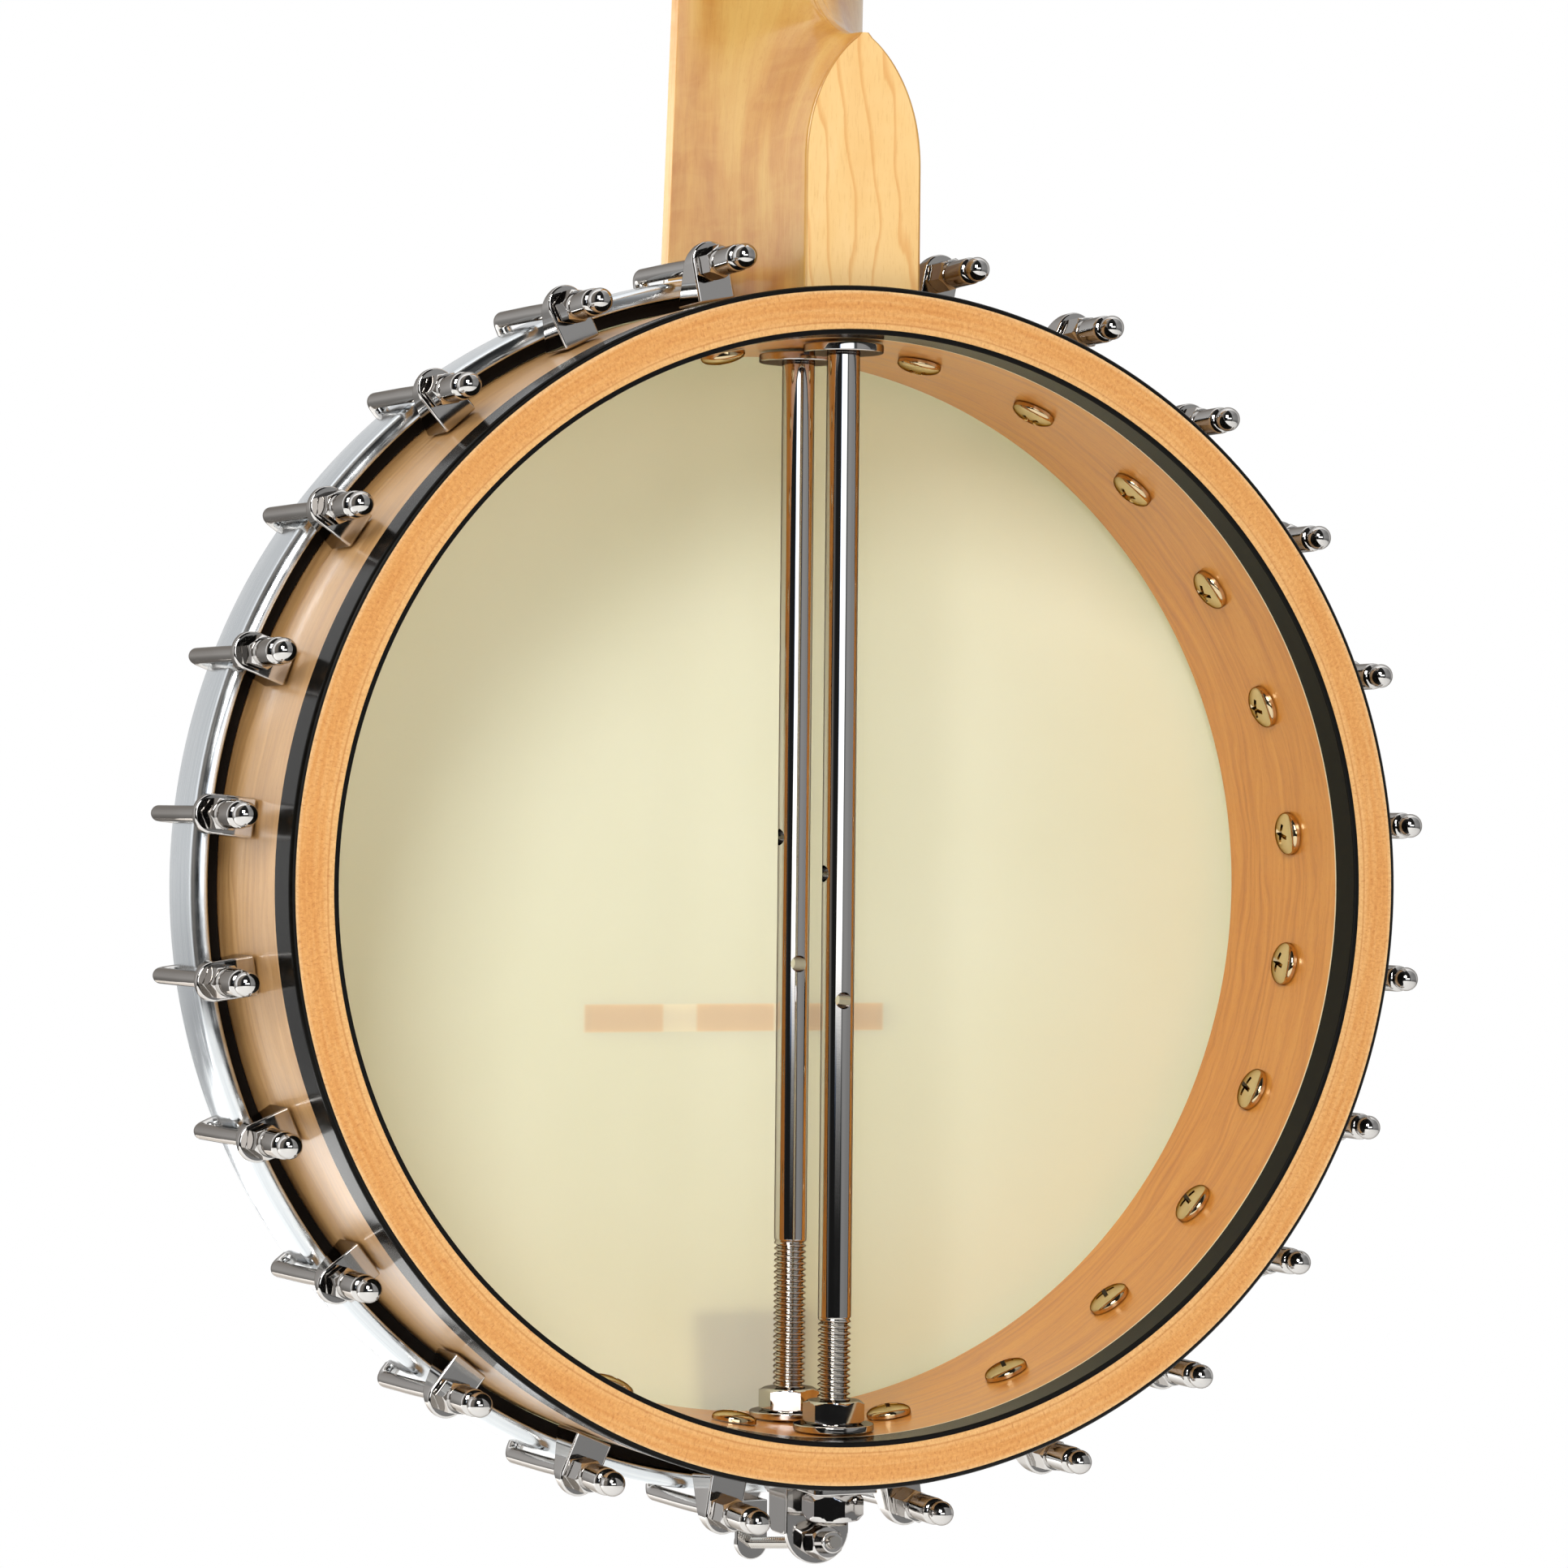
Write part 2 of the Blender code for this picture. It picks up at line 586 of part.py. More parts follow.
def make_bracket_mesh():
    """Shoe, hook, nut and bolt of one bracket, standing at the top of the pot."""
    hook = wire(hook_path(), HOOK_RADIUS, resolution=1)
    hex_axis = blend(HOOK_AXIS_AT_NUT, HOOK_AXIS_AT_HOOP, 0.2)
    hex_body = cylinder(NUT_HEX_RADIUS, (0.0, NUT_HEX_Y[0], hex_axis), (0.0, NUT_HEX_Y[1], hex_axis), 6)
    nut_profile = [
        (0.0, NUT_BALL_Y + NUT_BALL_RADIUS),
        (0.8 * NUT_BALL_RADIUS, NUT_BALL_Y + 0.6 * NUT_BALL_RADIUS),
        (NUT_BALL_RADIUS, NUT_BALL_Y),
        (NUT_NECK_RADIUS, NUT_NECK_Y),
        (NUT_COLLAR_RADIUS, NUT_COLLAR_Y[1]),
        (NUT_COLLAR_RADIUS, NUT_COLLAR_Y[0]),
        (0.0, NUT_COLLAR_Y[0]),
    ]
    nut = turned(nut_profile, 6, closed=False)
    nut = baked(nut, Matrix.Translation((0.0, 0.0, HOOK_AXIS_AT_NUT)) @ ABOUT_Y)
    bolt_end = SHOE_BASE_RADIUS + BOLT_ENGAGEMENT
    bolt_profile = [
        (0.0, bolt_end),
        (BOLT_RADIUS, bolt_end),
        (BOLT_RADIUS, BOLT_HEAD_SEAT),
        (BOLT_HEAD_RADIUS, BOLT_HEAD_SEAT),
        (BOLT_HEAD_CROWN_RADIUS, BOLT_HEAD_RIM),
        (0.0, BOLT_HEAD_TOP),
    ]
    bolt = baked(turned(bolt_profile, 8, closed=False), Matrix.Translation((0.0, BOLT_Y, 0.0)))
    return joined(make_shoe(), hook, hex_body, nut, bolt)


def make_brackets():
    first = make_bracket_mesh()
    mesh = first.data
    bpy.data.objects.remove(first, do_unlink=True)
    mesh.materials.append(material("plated", "bracket"))
    mesh.shade_smooth()
    mesh.set_sharp_from_angle(angle=radians(40))
    for number, angle in enumerate(bracket_angles(), start=1):
        obj = bpy.data.objects.new(f"bracket_{number:02d}", mesh)
        obj.rotation_euler.y = angle
        obj.parent = pot_frame
        banjo.objects.link(obj)


# ---------------------------------------------------------------- coordinator rods and tail

def make_rod(name, y):
    washer_low, washer_high = ROD_WASHER_Z
    nut_low, nut_high = ROD_END_NUT_Z[name]
    profile = [
        (0.0, ROD_LAG_TOP_Z),
        (ROD_RADIUS, ROD_LAG_TOP_Z),
        (ROD_RADIUS, washer_high),
        (ROD_WASHER_RADIUS, washer_high),
        (ROD_WASHER_RADIUS, washer_low),
        (ROD_RADIUS, washer_low),
        (ROD_RADIUS, ROD_END_Z[name]),
        (0.0, ROD_END_Z[name]),
    ]
    rod = turned(profile, 10, closed=False)
    end_nut = cylinder(ROD_END_NUT_RADIUS[name], (0.0, 0.0, nut_low), (0.0, 0.0, nut_high), 6)
    reach = ROD_RADIUS + 1 * MM
    holes = []
    for z, direction in zip(ROD_CROSS_HOLES_Z[name], (Vector((1.0, 0.0, 0.0)), Vector((0.0, 1.0, 0.0)))):
        middle = Vector((0.0, 0.0, z))
        holes.append(cylinder(CROSS_HOLE_RADIUS, middle - reach * direction, middle + reach * direction, 6))
    rod = cut(joined(rod, end_nut), group_of(holes))
    rod.location = (0.0, y, 0.0)
    piece(f"coordinator_rod_{name}", rod, "plated")
    low, high = ROD_NUT_Z
    nut = cylinder(ROD_NUT_RADIUS, (0.0, 0.0, low), (0.0, 0.0, high), 6)
    washer_low, washer_high = ROD_NUT_WASHER_Z
    washer = cylinder(ROD_WASHER_RADIUS, (0.0, 0.0, washer_low), (0.0, 0.0, washer_high), 20)
    bore = cylinder(ROD_NUT_BORE, (0.0, 0.0, washer_low - 1 * MM), (0.0, 0.0, high + 1 * MM), 10)
    nut = cut(joined(nut, washer), bore)
    nut.location = (0.0, y, 0.0)
    piece(f"rod_nut_{name}", nut, "plated", smooth=False)


def screw_point(y, rise=0.0):
    """A point on the tail screw's axis, which drops away from the rim towards the front."""
    return Vector((0.0, y, SCREW_AXIS_Z + (y - HANGER_WALL_Y) * tan(SCREW_TILT) + rise))


def make_tailpiece_hanger():
    half, sheet = HANGER_HALF_WIDTH, HANGER_SHEET
    inset, corner = HANGER_OVERLAP, HANGER_CHEEK_CORNER
    top_low = (inset - half, HANGER_WALL_Y, HANGER_TOP_Z - sheet)
    top = box(top_low, (half - inset, HANGER_TOP_Y, HANGER_TOP_Z - inset))
    bottom = arc((0.0, HANGER_ARC_Z), half, 180, 360, 8)
    wall_y = (HANGER_WALL_Y - sheet / 2, HANGER_WALL_Y + sheet / 2)
    wall = plate_xz([(half, HANGER_TOP_Z), (-half, HANGER_TOP_Z), *bottom], wall_y)
    front, back = HANGER_CHEEK_Y, HANGER_WALL_Y
    ceiling = HANGER_TOP_Z - inset
    cheek = [(back, ceiling), (front + corner, ceiling), (front, ceiling - corner),
             (front, HANGER_CHEEK_BOTTOM_Z), (back, HANGER_CHEEK_BOTTOM_Z)]
    outside = half - 2 * inset
    cheeks = [plate_yz(cheek, (side * outside, side * (outside - sheet))) for side in (1, -1)]
    hanger = joined(wall, top, *cheeks)
    rod_ends = [(0.0, ROD_BACK_Y, z) for z in HANGER_ROD_HOLE_Z]
    screw_ends = [screw_point(y) for y in HANGER_SCREW_HOLE_Y]
    holes = [cylinder(ROD_HOLE_RADIUS, *rod_ends, 10), cylinder(SCREW_HOLE_RADIUS, *screw_ends, 10)]
    piece("tailpiece_hanger", cut(hanger, *holes), "plated", smooth=False)


def make_tailpiece():
    """The tailpiece with its screw and nut, which pull it down against the hanger."""
    half, inset = TAIL_TAB_HALF_WIDTH, TAIL_OVERLAP
    tab_centre = screw_point((TAIL_TAB_Y[0] + TAIL_TAB_Y[1]) / 2).z
    arc_points = arc((0.0, tab_centre), half, 180, 360, 8)
    tab = plate_xz([(half, TAIL_STRAP_Z[1]), (-half, TAIL_STRAP_Z[1]), *arc_points], TAIL_TAB_Y)
    strap_low = (inset - half, TAIL_PLATE_Y[0] + inset, TAIL_STRAP_Z[0])
    strap = box(strap_low, (half - inset, (TAIL_TAB_Y[0] + TAIL_TAB_Y[1]) / 2, TAIL_STRAP_Z[1] - inset))
    wide, end = TAIL_PLATE_HALF_WIDTH, TAIL_PLATE_END_Z
    side = [(half, TAIL_STRAP_Z[0] - inset), *TAIL_PLATE_SHOULDERS, (wide, end)]
    top = plate_xz(side + [(-x, z) for x, z in reversed(side)], TAIL_PLATE_Y)
    bar_low = (inset - wide, TAIL_BAR_Y, TAIL_BAR_Z)
    bar = box(bar_low, (wide - inset, TAIL_PLATE_Y[0] + TAIL_BAR_ROOT, end - inset))
    rounds = [
        cylinder(radius, screw_point(ends[0]), screw_point(ends[1]), sides)
        for radius, ends, sides in (
            (SCREW_RADIUS, SCREW_ENDS_Y, 8),
            (SCREW_HEAD_RADIUS, SCREW_HEAD_Y, 10),
            (SCREW_NUT_RADIUS, SCREW_NUT_Y, 6),
            (SCREW_COLLAR_RADIUS, SCREW_COLLAR_Y, 8),
        )
    ]
    piece("tailpiece", joined(tab, strap, top, bar, *rounds), "plated")


# ---------------------------------------------------------------- neck

BOARD_UP = Vector((0.0, sin(NECK_PITCH), cos(NECK_PITCH)))
BOARD_BACK = Vector((0.0, cos(NECK_PITCH), -sin(NECK_PITCH)))
BOARD_ORIGIN = Vector((0.0, BOARD_END_Y, BOARD_END_Z))
NUT_FRONT = BOARD_LENGTH + 0.4 * MM
NUT_BACK = NUT_FRONT + NUT_LENGTH


def on_board(x, up, depth):
    """A point measured up the fingerboard from the pot and down from its face."""
    return BOARD_ORIGIN + Vector((x, 0.0, 0.0)) + up * BOARD_UP + depth * BOARD_BACK


BOARD_PLACE = Matrix.Translation(BOARD_ORIGIN) @ Matrix.Rotation(-NECK_PITCH, 4, "X")
PEGHEAD_UP = Vector((0.0, sin(PEGHEAD_TILT), cos(PEGHEAD_TILT)))
PEGHEAD_BACK = Vector((0.0, cos(PEGHEAD_TILT), -sin(PEGHEAD_TILT)))
PEGHEAD_ORIGIN = on_board(0.0, NUT_BACK + 1.3 * MM, PEGHEAD_DROP)
PEGHEAD_PLACE = Matrix.Translation(PEGHEAD_ORIGIN) @ Matrix.Rotation(-PEGHEAD_TILT, 4, "X")
WOOD_FACE = OVERLAY_THICKNESS + GLUE_GAP
WOOD_BACK = WOOD_FACE + PEGHEAD_THICKNESS


def on_peghead(x, up, depth):
    """A point measured up the peghead from the nut and down from its face."""
    return PEGHEAD_ORIGIN + Vector((x, 0.0, 0.0)) + up * PEGHEAD_UP + depth * PEGHEAD_BACK


def fret_place(number):
    """Distance of a fret up the fingerboard from the pot."""
    return NUT_FRONT - SCALE_LENGTH * (1.0 - 2.0 ** (-number / 12.0))


def treble_half_width(up):
    return blend(HALF_WIDTH_AT_POT, HALF_WIDTH_AT_NUT, up / NUT_FRONT)


def bass_half_width(up):
    """Wide enough for the fifth string up to its peg, then stepped in."""
    if up < SHOULDER_START:
        return blend(HALF_WIDTH_AT_POT, BASS_HALF_WIDTH_AT_FIFTH, up / SHOULDER_START)
    step = smooth_step((up - SHOULDER_START) / (SHOULDER_END - SHOULDER_START))
    shoulder = blend(BASS_HALF_WIDTH_AT_FIFTH, BASS_HALF_WIDTH_ABOVE_FIFTH, step)
    return blend(shoulder, HALF_WIDTH_AT_NUT, (up - SHOULDER_END) / (NUT_FRONT - SHOULDER_END))


def heel_cap_half_width(z):
    """The heel cap's pointed arch, narrowing to a keel above it."""
    t = (z - HEEL_CAP_ARCH_Z) / (HEEL_CAP_TOP_Z - HEEL_CAP_ARCH_Z)
    if t <= 0.0:
        return HEEL_CAP_HALF_WIDTH
    if t >= 1.0:
        return KEEL_HALF_WIDTH
    return max(KEEL_HALF_WIDTH, HEEL_CAP_HALF_WIDTH * (1.0 - t ** 2.2) ** 0.75)


def neck_section(z):
    """The neck's outline at one height, from the treble corner round the back to the bass one."""
    up = (z - BOARD_END_Z) / cos(NECK_PITCH)
    face = BOARD_END_Y + (z - BOARD_END_Z) * tan(NECK_PITCH)
    front = face + BOARD_THICKNESS + GLUE_GAP
    neck_back = face + blend(NECK_DEPTH_AT_HEEL, NECK_DEPTH_AT_NUT, up / NUT_FRONT)
    past_nut = z - PEGHEAD_ORIGIN.z
    if past_nut > 0.0:
        front = PEGHEAD_ORIGIN.y + (WOOD_FACE + 0.4 * MM) / cos(PEGHEAD_TILT) + past_nut * tan(PEGHEAD_TILT)
        neck_back = PEGHEAD_ORIGIN.y + WOOD_BACK / cos(PEGHEAD_TILT) + past_nut * tan(PEGHEAD_TILT) - 0.4 * MM
    if z <= HEEL_CAP_TOP_Z:
        back = HEEL_BACK_Y
    elif z < HEEL_CURVE_END_Z:
        reach = (HEEL_CURVE_END_Z - z) / (HEEL_CURVE_END_Z - HEEL_CAP_TOP_Z)
        back = blend(HEEL_BACK_Y, neck_back, sqrt(1.0 - reach * reach))
    else:
        back = neck_back
    foot = heel_cap_half_width(z)
    roundness = smooth_step((z - HEEL_CAP_ARCH_Z) / (HEEL_CURVE_END_Z - HEEL_CAP_ARCH_Z))
    flare, close = blend(1.0, 2.0, roundness), blend(1.9, 0.55, roundness)
    rows = 6
    treble, bass = [], []
    for row in range(rows + 1):
        t = row / rows
        depth = blend(t, sin(t * pi / 2), roundness)
        share = max(0.0, 1.0 - depth ** flare) ** close
        y = blend(front, back, depth)
        treble.append((foot + (treble_half_width(up) - foot) * share, y, z))
        bass.append((-foot - (bass_half_width(up) - foot) * share, y, z))
    return treble + bass[::-1]


def neck_stations():
    """Heights at which the neck's section is taken."""
    heel = [120, 138, 150, 160, 168, 176, 183, 189, 194, 197.5, 199.5]
    curve = [200.2, 202, 205, 210, 217, 227, 242]
    shaft = [300, 370, 440, 480]
    shoulder = [BOARD_END_Z / MM + SHOULDER_START / MM + d for d in (0, 4, 8, 13, 17, 21)]
    top = [560, 610, 630, PEGHEAD_ORIGIN.z / MM - 0.3, PEGHEAD_ORIGIN.z / MM + 9]
    return [value * MM for value in heel + curve + shaft + shoulder + top]


def lofted(sections):
    """A closed solid through rings of points, all with the same count."""
    work = bmesh.new()
    rings = [[work.verts.new(point) for point in section] for section in sections]
    for lower, upper in zip(rings, rings[1:]):
        for i in range(len(lower)):
            j = (i + 1) % len(lower)
            work.faces.new((lower[i], upper[i], upper[j], lower[j]))
    work.faces.new(rings[0])
    work.faces.new(rings[-1][::-1])
    bmesh.ops.recalc_face_normals(work, faces=work.faces)
    mesh = bpy.data.meshes.new("loft")
    work.to_mesh(mesh)
    work.free()
    return loose(mesh)


def peghead_outline(grow=0.0):
    """Half-widths up the peghead: a waist at the nut, shoulders, gently spreading sides, a low arch."""
    side = [(16.2, 0.0), (17.2, 7.0), (20.0, 15.0), (25.5, 23.0), (30.5, 29.0), (32.6, 36.0),
            (34.4, 80.0), (35.8, 124.0), (35.2, 134.0), (31.0, 141.0), (22.0, 146.5), (10.0, 150.6)]
    right = [((x + grow) * MM, v * MM) for x, v in side]
    return right + [(0.0, PEGHEAD_LENGTH)] + [(-x, v) for x, v in reversed(right)]


def tuner_places():
    """Tuner number and its (x, distance up the peghead): first and second on the treble side."""
    low, high = TUNER_ROWS
    return {1: (TUNER_X, low), 2: (TUNER_X, high), 3: (-TUNER_X, high), 4: (-TUNER_X, low)}


def peghead_holes():
    reach = (-3 * MM, WOOD_BACK + 3 * MM)
    return group_of([
        cylinder(TUNER_HOLE_RADIUS, on_peghead(x, up, reach[0]), on_peghead(x, up, reach[1]), 10)
        for x, up in tuner_places().values()
    ])


def fifth_peg_seat(out):
    """A point on the fifth peg's axis, measured outwards from the neck's bass side."""
    up = fret_place(5) + FIFTH_PEG_ABOVE_FRET
    return on_board(-BASS_HALF_WIDTH_AT_FIFTH - 0.5 * MM - out, up, FIFTH_PEG_DEPTH)


def fifth_peg_hole():
    return cylinder(FIFTH_PEG_HOLE_RADIUS, fifth_peg_seat(-13 * MM), fifth_peg_seat(6 * MM), 10)


def make_neck():
    shaft = lofted([neck_section(z) for z in neck_stations()])
    wood = plate_xz(peghead_outline(), (WOOD_FACE, WOOD_BACK))
    neck = joined(shaft, baked(wood, PEGHEAD_PLACE))
    clear_rim, clear_hoop = RIM_OUTER_RADIUS + HEEL_RIM_GAP, HOOP_OUTER_RADIUS + HEEL_HOOP_GAP
    behind, ahead = HEEL_CUT_Y
    step_y = HOOP_BACK_Y + HEEL_HOOP_GAP
    pot_profile = [(0.0, behind), (clear_rim, behind), (clear_rim, step_y),
                   (clear_hoop, step_y), (clear_hoop, ahead), (0.0, ahead)]
    pot_cut = turned_about_pot_axis(pot_profile, closed=False)
    lag_holes = group_of([
        cylinder(ROD_HOLE_RADIUS, (0.0, y, ROD_LAG_HOLE_Z[0]), (0.0, y, ROD_LAG_HOLE_Z[1]), 8)
        for y in (ROD_FRONT_Y, ROD_BACK_Y)
    ])
    piece("neck", cut(neck, pot_cut, lag_holes, peghead_holes(), fifth_peg_hole()), "maple")


def make_fingerboard():
    """The board with its frets."""
    stops = [0.0, SHOULDER_START]
    stops += [blend(SHOULDER_START, SHOULDER_END, t) for t in (0.2, 0.4, 0.6, 0.8, 1.0)] + [BOARD_LENGTH]
    treble = [(treble_half_width(up), up) for up in (0.0, BOARD_LENGTH)]
    bass = [(-bass_half_width(up), up) for up in stops]
    board = plate_xz(treble + bass[::-1], (0.0, BOARD_THICKNESS))
    frets = []
    for number in range(1, FRET_COUNT + 1):
        up = fret_place(number)
        base, crown = FRET_HALF_WIDTH, 0.5 * FRET_HALF_WIDTH
        section = [(FRET_INSET, up - base), (FRET_INSET, up + base), (-FRET_HEIGHT, up + crown),
                   (-FRET_HEIGHT, up - crown)]
        span = (-bass_half_width(up) + FRET_INSET, treble_half_width(up) - FRET_INSET)
        frets.append(plate_yz(section, span))
    board = baked(joined(board, group_of(frets)), BOARD_PLACE)
    piece("fingerboard", cut(board, fifth_peg_hole()), "maple", smooth=False)


def make_nut():
    """Its top falls away towards the peghead."""
    section = [(BOARD_THICKNESS, NUT_FRONT), (BOARD_THICKNESS, NUT_BACK), (-NUT_BACK_RISE, NUT_BACK),
               (-NUT_RISE, NUT_FRONT + NUT_LAND), (-NUT_RISE, NUT_FRONT)]
    block = plate_yz(section, (-HALF_WIDTH_AT_NUT, HALF_WIDTH_AT_NUT))
    piece("string_nut", baked(block, BOARD_PLACE), "bone", smooth=False)


def make_peghead_overlay():
    sheet = plate_xz(peghead_outline(), (0.0, OVERLAY_THICKNESS))
    overlay = cut(baked(sheet, PEGHEAD_PLACE), peghead_holes())
    piece("peghead_overlay", overlay, "dark_wood", smooth=False)


# ---------------------------------------------------------------- bridge and strings

BRIDGE_UP = NUT_FRONT - SCALE_LENGTH
BRIDGE_Z = on_board(0.0, BRIDGE_UP, 0.0).z
BRIDGE_FOOT_Y = HEAD_FRONT_Y - BRIDGE_HEAD_GAP
BRIDGE_TOP_Y = BRIDGE_FOOT_Y - BRIDGE_HEIGHT


def make_bridge():
    """Three feet under two arches, thinning towards the top."""
    half, foot = BRIDGE_HALF_LENGTH, BRIDGE_FOOT_LENGTH
    arch_half = (half - 1.5 * foot) / 2
    centre = foot / 2 + arch_half
    turns = [pi * i / 6 for i in range(7)]
    arch = [(centre + arch_half * cos(turn), BRIDGE_ARCH_HEIGHT * sin(turn)) for turn in turns]
    right = arch[::-1] + [(half, 0.0), *BRIDGE_SIDE]
    outline = right + [(-x, y) for x, y in reversed(right)]
    bridge = plate(outline, BRIDGE_FOOT_THICKNESS)
    for vertex in bridge.data.vertices:
        share = vertex.co.y / BRIDGE_HEIGHT
        vertex.co.z *= blend(1.0, BRIDGE_TOP_THICKNESS / BRIDGE_FOOT_THICKNESS, share)
    bridge = baked(bridge, Matrix.Rotation(pi, 4, "X"))
    bridge.location = (BRIDGE_X, BRIDGE_FOOT_Y, BRIDGE_Z)
    piece("bridge", bridge, "maple", smooth=False)


FIFTH_STRING_EDGE = (-BASS_HALF_WIDTH_AT_FIFTH - 0.3 * MM, fret_place(5) + FIFTH_EDGE_ABOVE_FRET, -0.8 * MM)


def string_route(number):
    """Where a string runs: from the tailpiece over the bridge and the nut to its post."""
    lift = STRING_CLEARANCE + STRING_RADII[number - 1]
    across = 3 - number
    tail = Vector((TAIL_STRINGS_X + across * TAIL_SPACING, STRING_TAIL_Y, STRING_TAIL_Z))
    bridge = Vector((BRIDGE_X + across * BRIDGE_SPACING, BRIDGE_TOP_Y - lift, BRIDGE_Z))
    if number == 5:
        stop = on_board(FIFTH_STRING_X, fret_place(5) + FIFTH_STOP_ABOVE_FRET, -NUT_RISE - lift)
        edge = on_board(*FIFTH_STRING_EDGE)
        spool = fifth_peg_seat(FIFTH_STRING_OUT) + Vector((0.0, -SPOOL_RADIUS - STRING_POST_GAP, 0.0))
        return [tail, bridge, stop, edge, spool]
    nut = on_board((2.5 - number) * NUT_SPACING, NUT_FRONT + NUT_LAND / 2, -NUT_RISE - lift)
    x, up = tuner_places()[number]
    inward = -1.0 if x > 0 else 1.0
    side = x + inward * (POST_RADIUS + STRING_POST_GAP)
    return [tail, bridge, nut, on_peghead(side, up, WOOD_BACK - STRING_AT_POST)]


def make_strings():
    for number in range(1, 6):
        string = wire(string_route(number), STRING_RADII[number - 1], resolution=1)
        piece(f"string_{number}", string, "steel")


# ---------------------------------------------------------------- tuners

def make_button(name, start, end, knob_centre):
    """A knob on its shaft, along local Z."""
    shaft = cylinder(SHAFT_RADIUS, (0.0, 0.0, start), (0.0, 0.0, end), 8)
    work = bmesh.new()
    bmesh.ops.create_uvsphere(work, u_segments=10, v_segments=6, radius=1.0)
    place = Matrix.Translation((0.0, 0.0, knob_centre)) @ Matrix.Diagonal((*BUTTON_SIZE, 1.0))
    bmesh.ops.transform(work, matrix=place, verts=work.verts)
    mesh = bpy.data.meshes.new("knob")
    work.to_mesh(mesh)
    work.free()
    return piece(name, joined(loose(mesh), shaft), "pearl")


def make_post(name):
    tip, waist, long = WOOD_BACK + POST_HEIGHT, STRING_AT_POST, POST_WAIST_HALF_LENGTH
    profile = [
        (0.0, tip),
        (POST_RADIUS - POST_EDGE, tip),
        (POST_RADIUS, tip - POST_EDGE),
        (POST_RADIUS, waist + long),
        (POST_RADIUS * POST_WAIST_SHARE, waist),
        (POST_RADIUS, waist - long),
        (POST_RADIUS, -POST_BASE),
        (0.0, -POST_BASE),
    ]
    return piece(name, turned(profile, TUNER_SIDES, closed=False), "plated")


def make_housing(name):
    """Can behind the peghead, bush through it and round nut on its face, bored for post and shaft."""
    face, gap = WOOD_BACK, TUNER_SEAT_GAP
    wide, narrow = TUNER_RING_RADII
    profile = [
        (POST_BORE_RADIUS, face + TUNER_RING_HEIGHT),
        (narrow, face + TUNER_RING_HEIGHT),
        (wide, face + gap),
        (TUNER_BUSH_RADIUS, face + gap),
        (TUNER_BUSH_RADIUS, -gap),
        (TUNER_CAN_RADIUS, -gap),
        (TUNER_CAN_RADIUS, TUNER_CAN_BEVEL - TUNER_CAN_DEPTH),
        (TUNER_CAN_RADIUS - TUNER_CAN_BEVEL, -TUNER_CAN_DEPTH),
        (SHAFT_BORE_RADIUS, -TUNER_CAN_DEPTH),
        (SHAFT_BORE_RADIUS, -TUNER_CAN_FLOOR),
        (POST_BORE_RADIUS, -TUNER_CAN_FLOOR),
    ]
    return piece(name, turned(profile, TUNER_SIDES, closed=True), "plated")


def make_peghead_tuner(number, x, up):
    knob_centre = -TUNER_CAN_DEPTH - BUTTON_GAP - BUTTON_SIZE[2]
    parts = [
        make_housing(f"tuner_{number}_housing"),
        make_post(f"tuner_{number}_post"),
        make_button(f"tuner_{number}_button", -SHAFT_START, knob_centre, knob_centre),
    ]
    for part in parts:
        part.location = on_peghead(x, up, WOOD_BACK)
        part.rotation_euler.x = pi / 2 - PEGHEAD_TILT


def make_fifth_tuner():
    """A stud in the neck's side, a spool on it, and a geared can with its button outside."""
    can_start, can_end = FIFTH_CAN_OUT
    wide, narrow = FIFTH_CAN_RADII
    housing_profile = [
        (0.0, can_end - FIFTH_BORE_DEPTH),
        (SHAFT_BORE_RADIUS, can_end - FIFTH_BORE_DEPTH),
        (SHAFT_BORE_RADIUS, can_end),
        (narrow, can_end),
        (wide, can_end - TUNER_CAN_BEVEL),
        (wide, can_start),
        (FIFTH_AXLE_RADIUS, can_start),
        (FIFTH_AXLE_RADIUS, FIFTH_SEAT_HEIGHT),
        (FIFTH_SEAT_RADIUS, FIFTH_SEAT_HEIGHT),
        (FIFTH_SEAT_RADIUS, 0.0),
        (FIFTH_STUD_RADIUS, 0.0),
        (FIFTH_STUD_RADIUS, -FIFTH_STUD_LENGTH),
        (0.0, -FIFTH_STUD_LENGTH),
    ]
    housing = turned(housing_profile, TUNER_SIDES, closed=False)
    low, high = SPOOL_OUT
    spool_profile = [
        (SPOOL_BORE_RADIUS, high),
        (SPOOL_RIM_RADIUS, high),
        (SPOOL_RADIUS, high - SPOOL_RIM),
        (SPOOL_RADIUS, low + SPOOL_RIM),
        (SPOOL_RIM_RADIUS, low),
        (SPOOL_BORE_RADIUS, low),
    ]
    spool = turned(spool_profile, TUNER_SIDES, closed=True)
    knob_centre = can_end + BUTTON_GAP + BUTTON_SIZE[2]
    parts = [
        piece("tuner_5_housing", housing, "plated"),
        piece("tuner_5_post", spool, "plated"),
        make_button("tuner_5_button", can_end - FIFTH_SHAFT_DEPTH, knob_centre, knob_centre),
    ]
    for part in parts:
        part.location = fifth_peg_seat(0.0)
        part.rotation_euler.y = -pi / 2


def make_banjo():
    make_rim()
    make_tone_ring()
    make_head()
    make_flesh_hoop()
    make_tension_hoop()
    make_brackets()
    make_rod("front", ROD_FRONT_Y)
    make_rod("back", ROD_BACK_Y)
    make_tailpiece_hanger()
    make_tailpiece()
    make_neck()
    make_fingerboard()
    make_nut()
    make_peghead_overlay()
    make_bridge()
    make_strings()
    for number, (x, up) in tuner_places().items():
        make_peghead_tuner(number, x, up)
    make_fifth_tuner()


make_banjo()
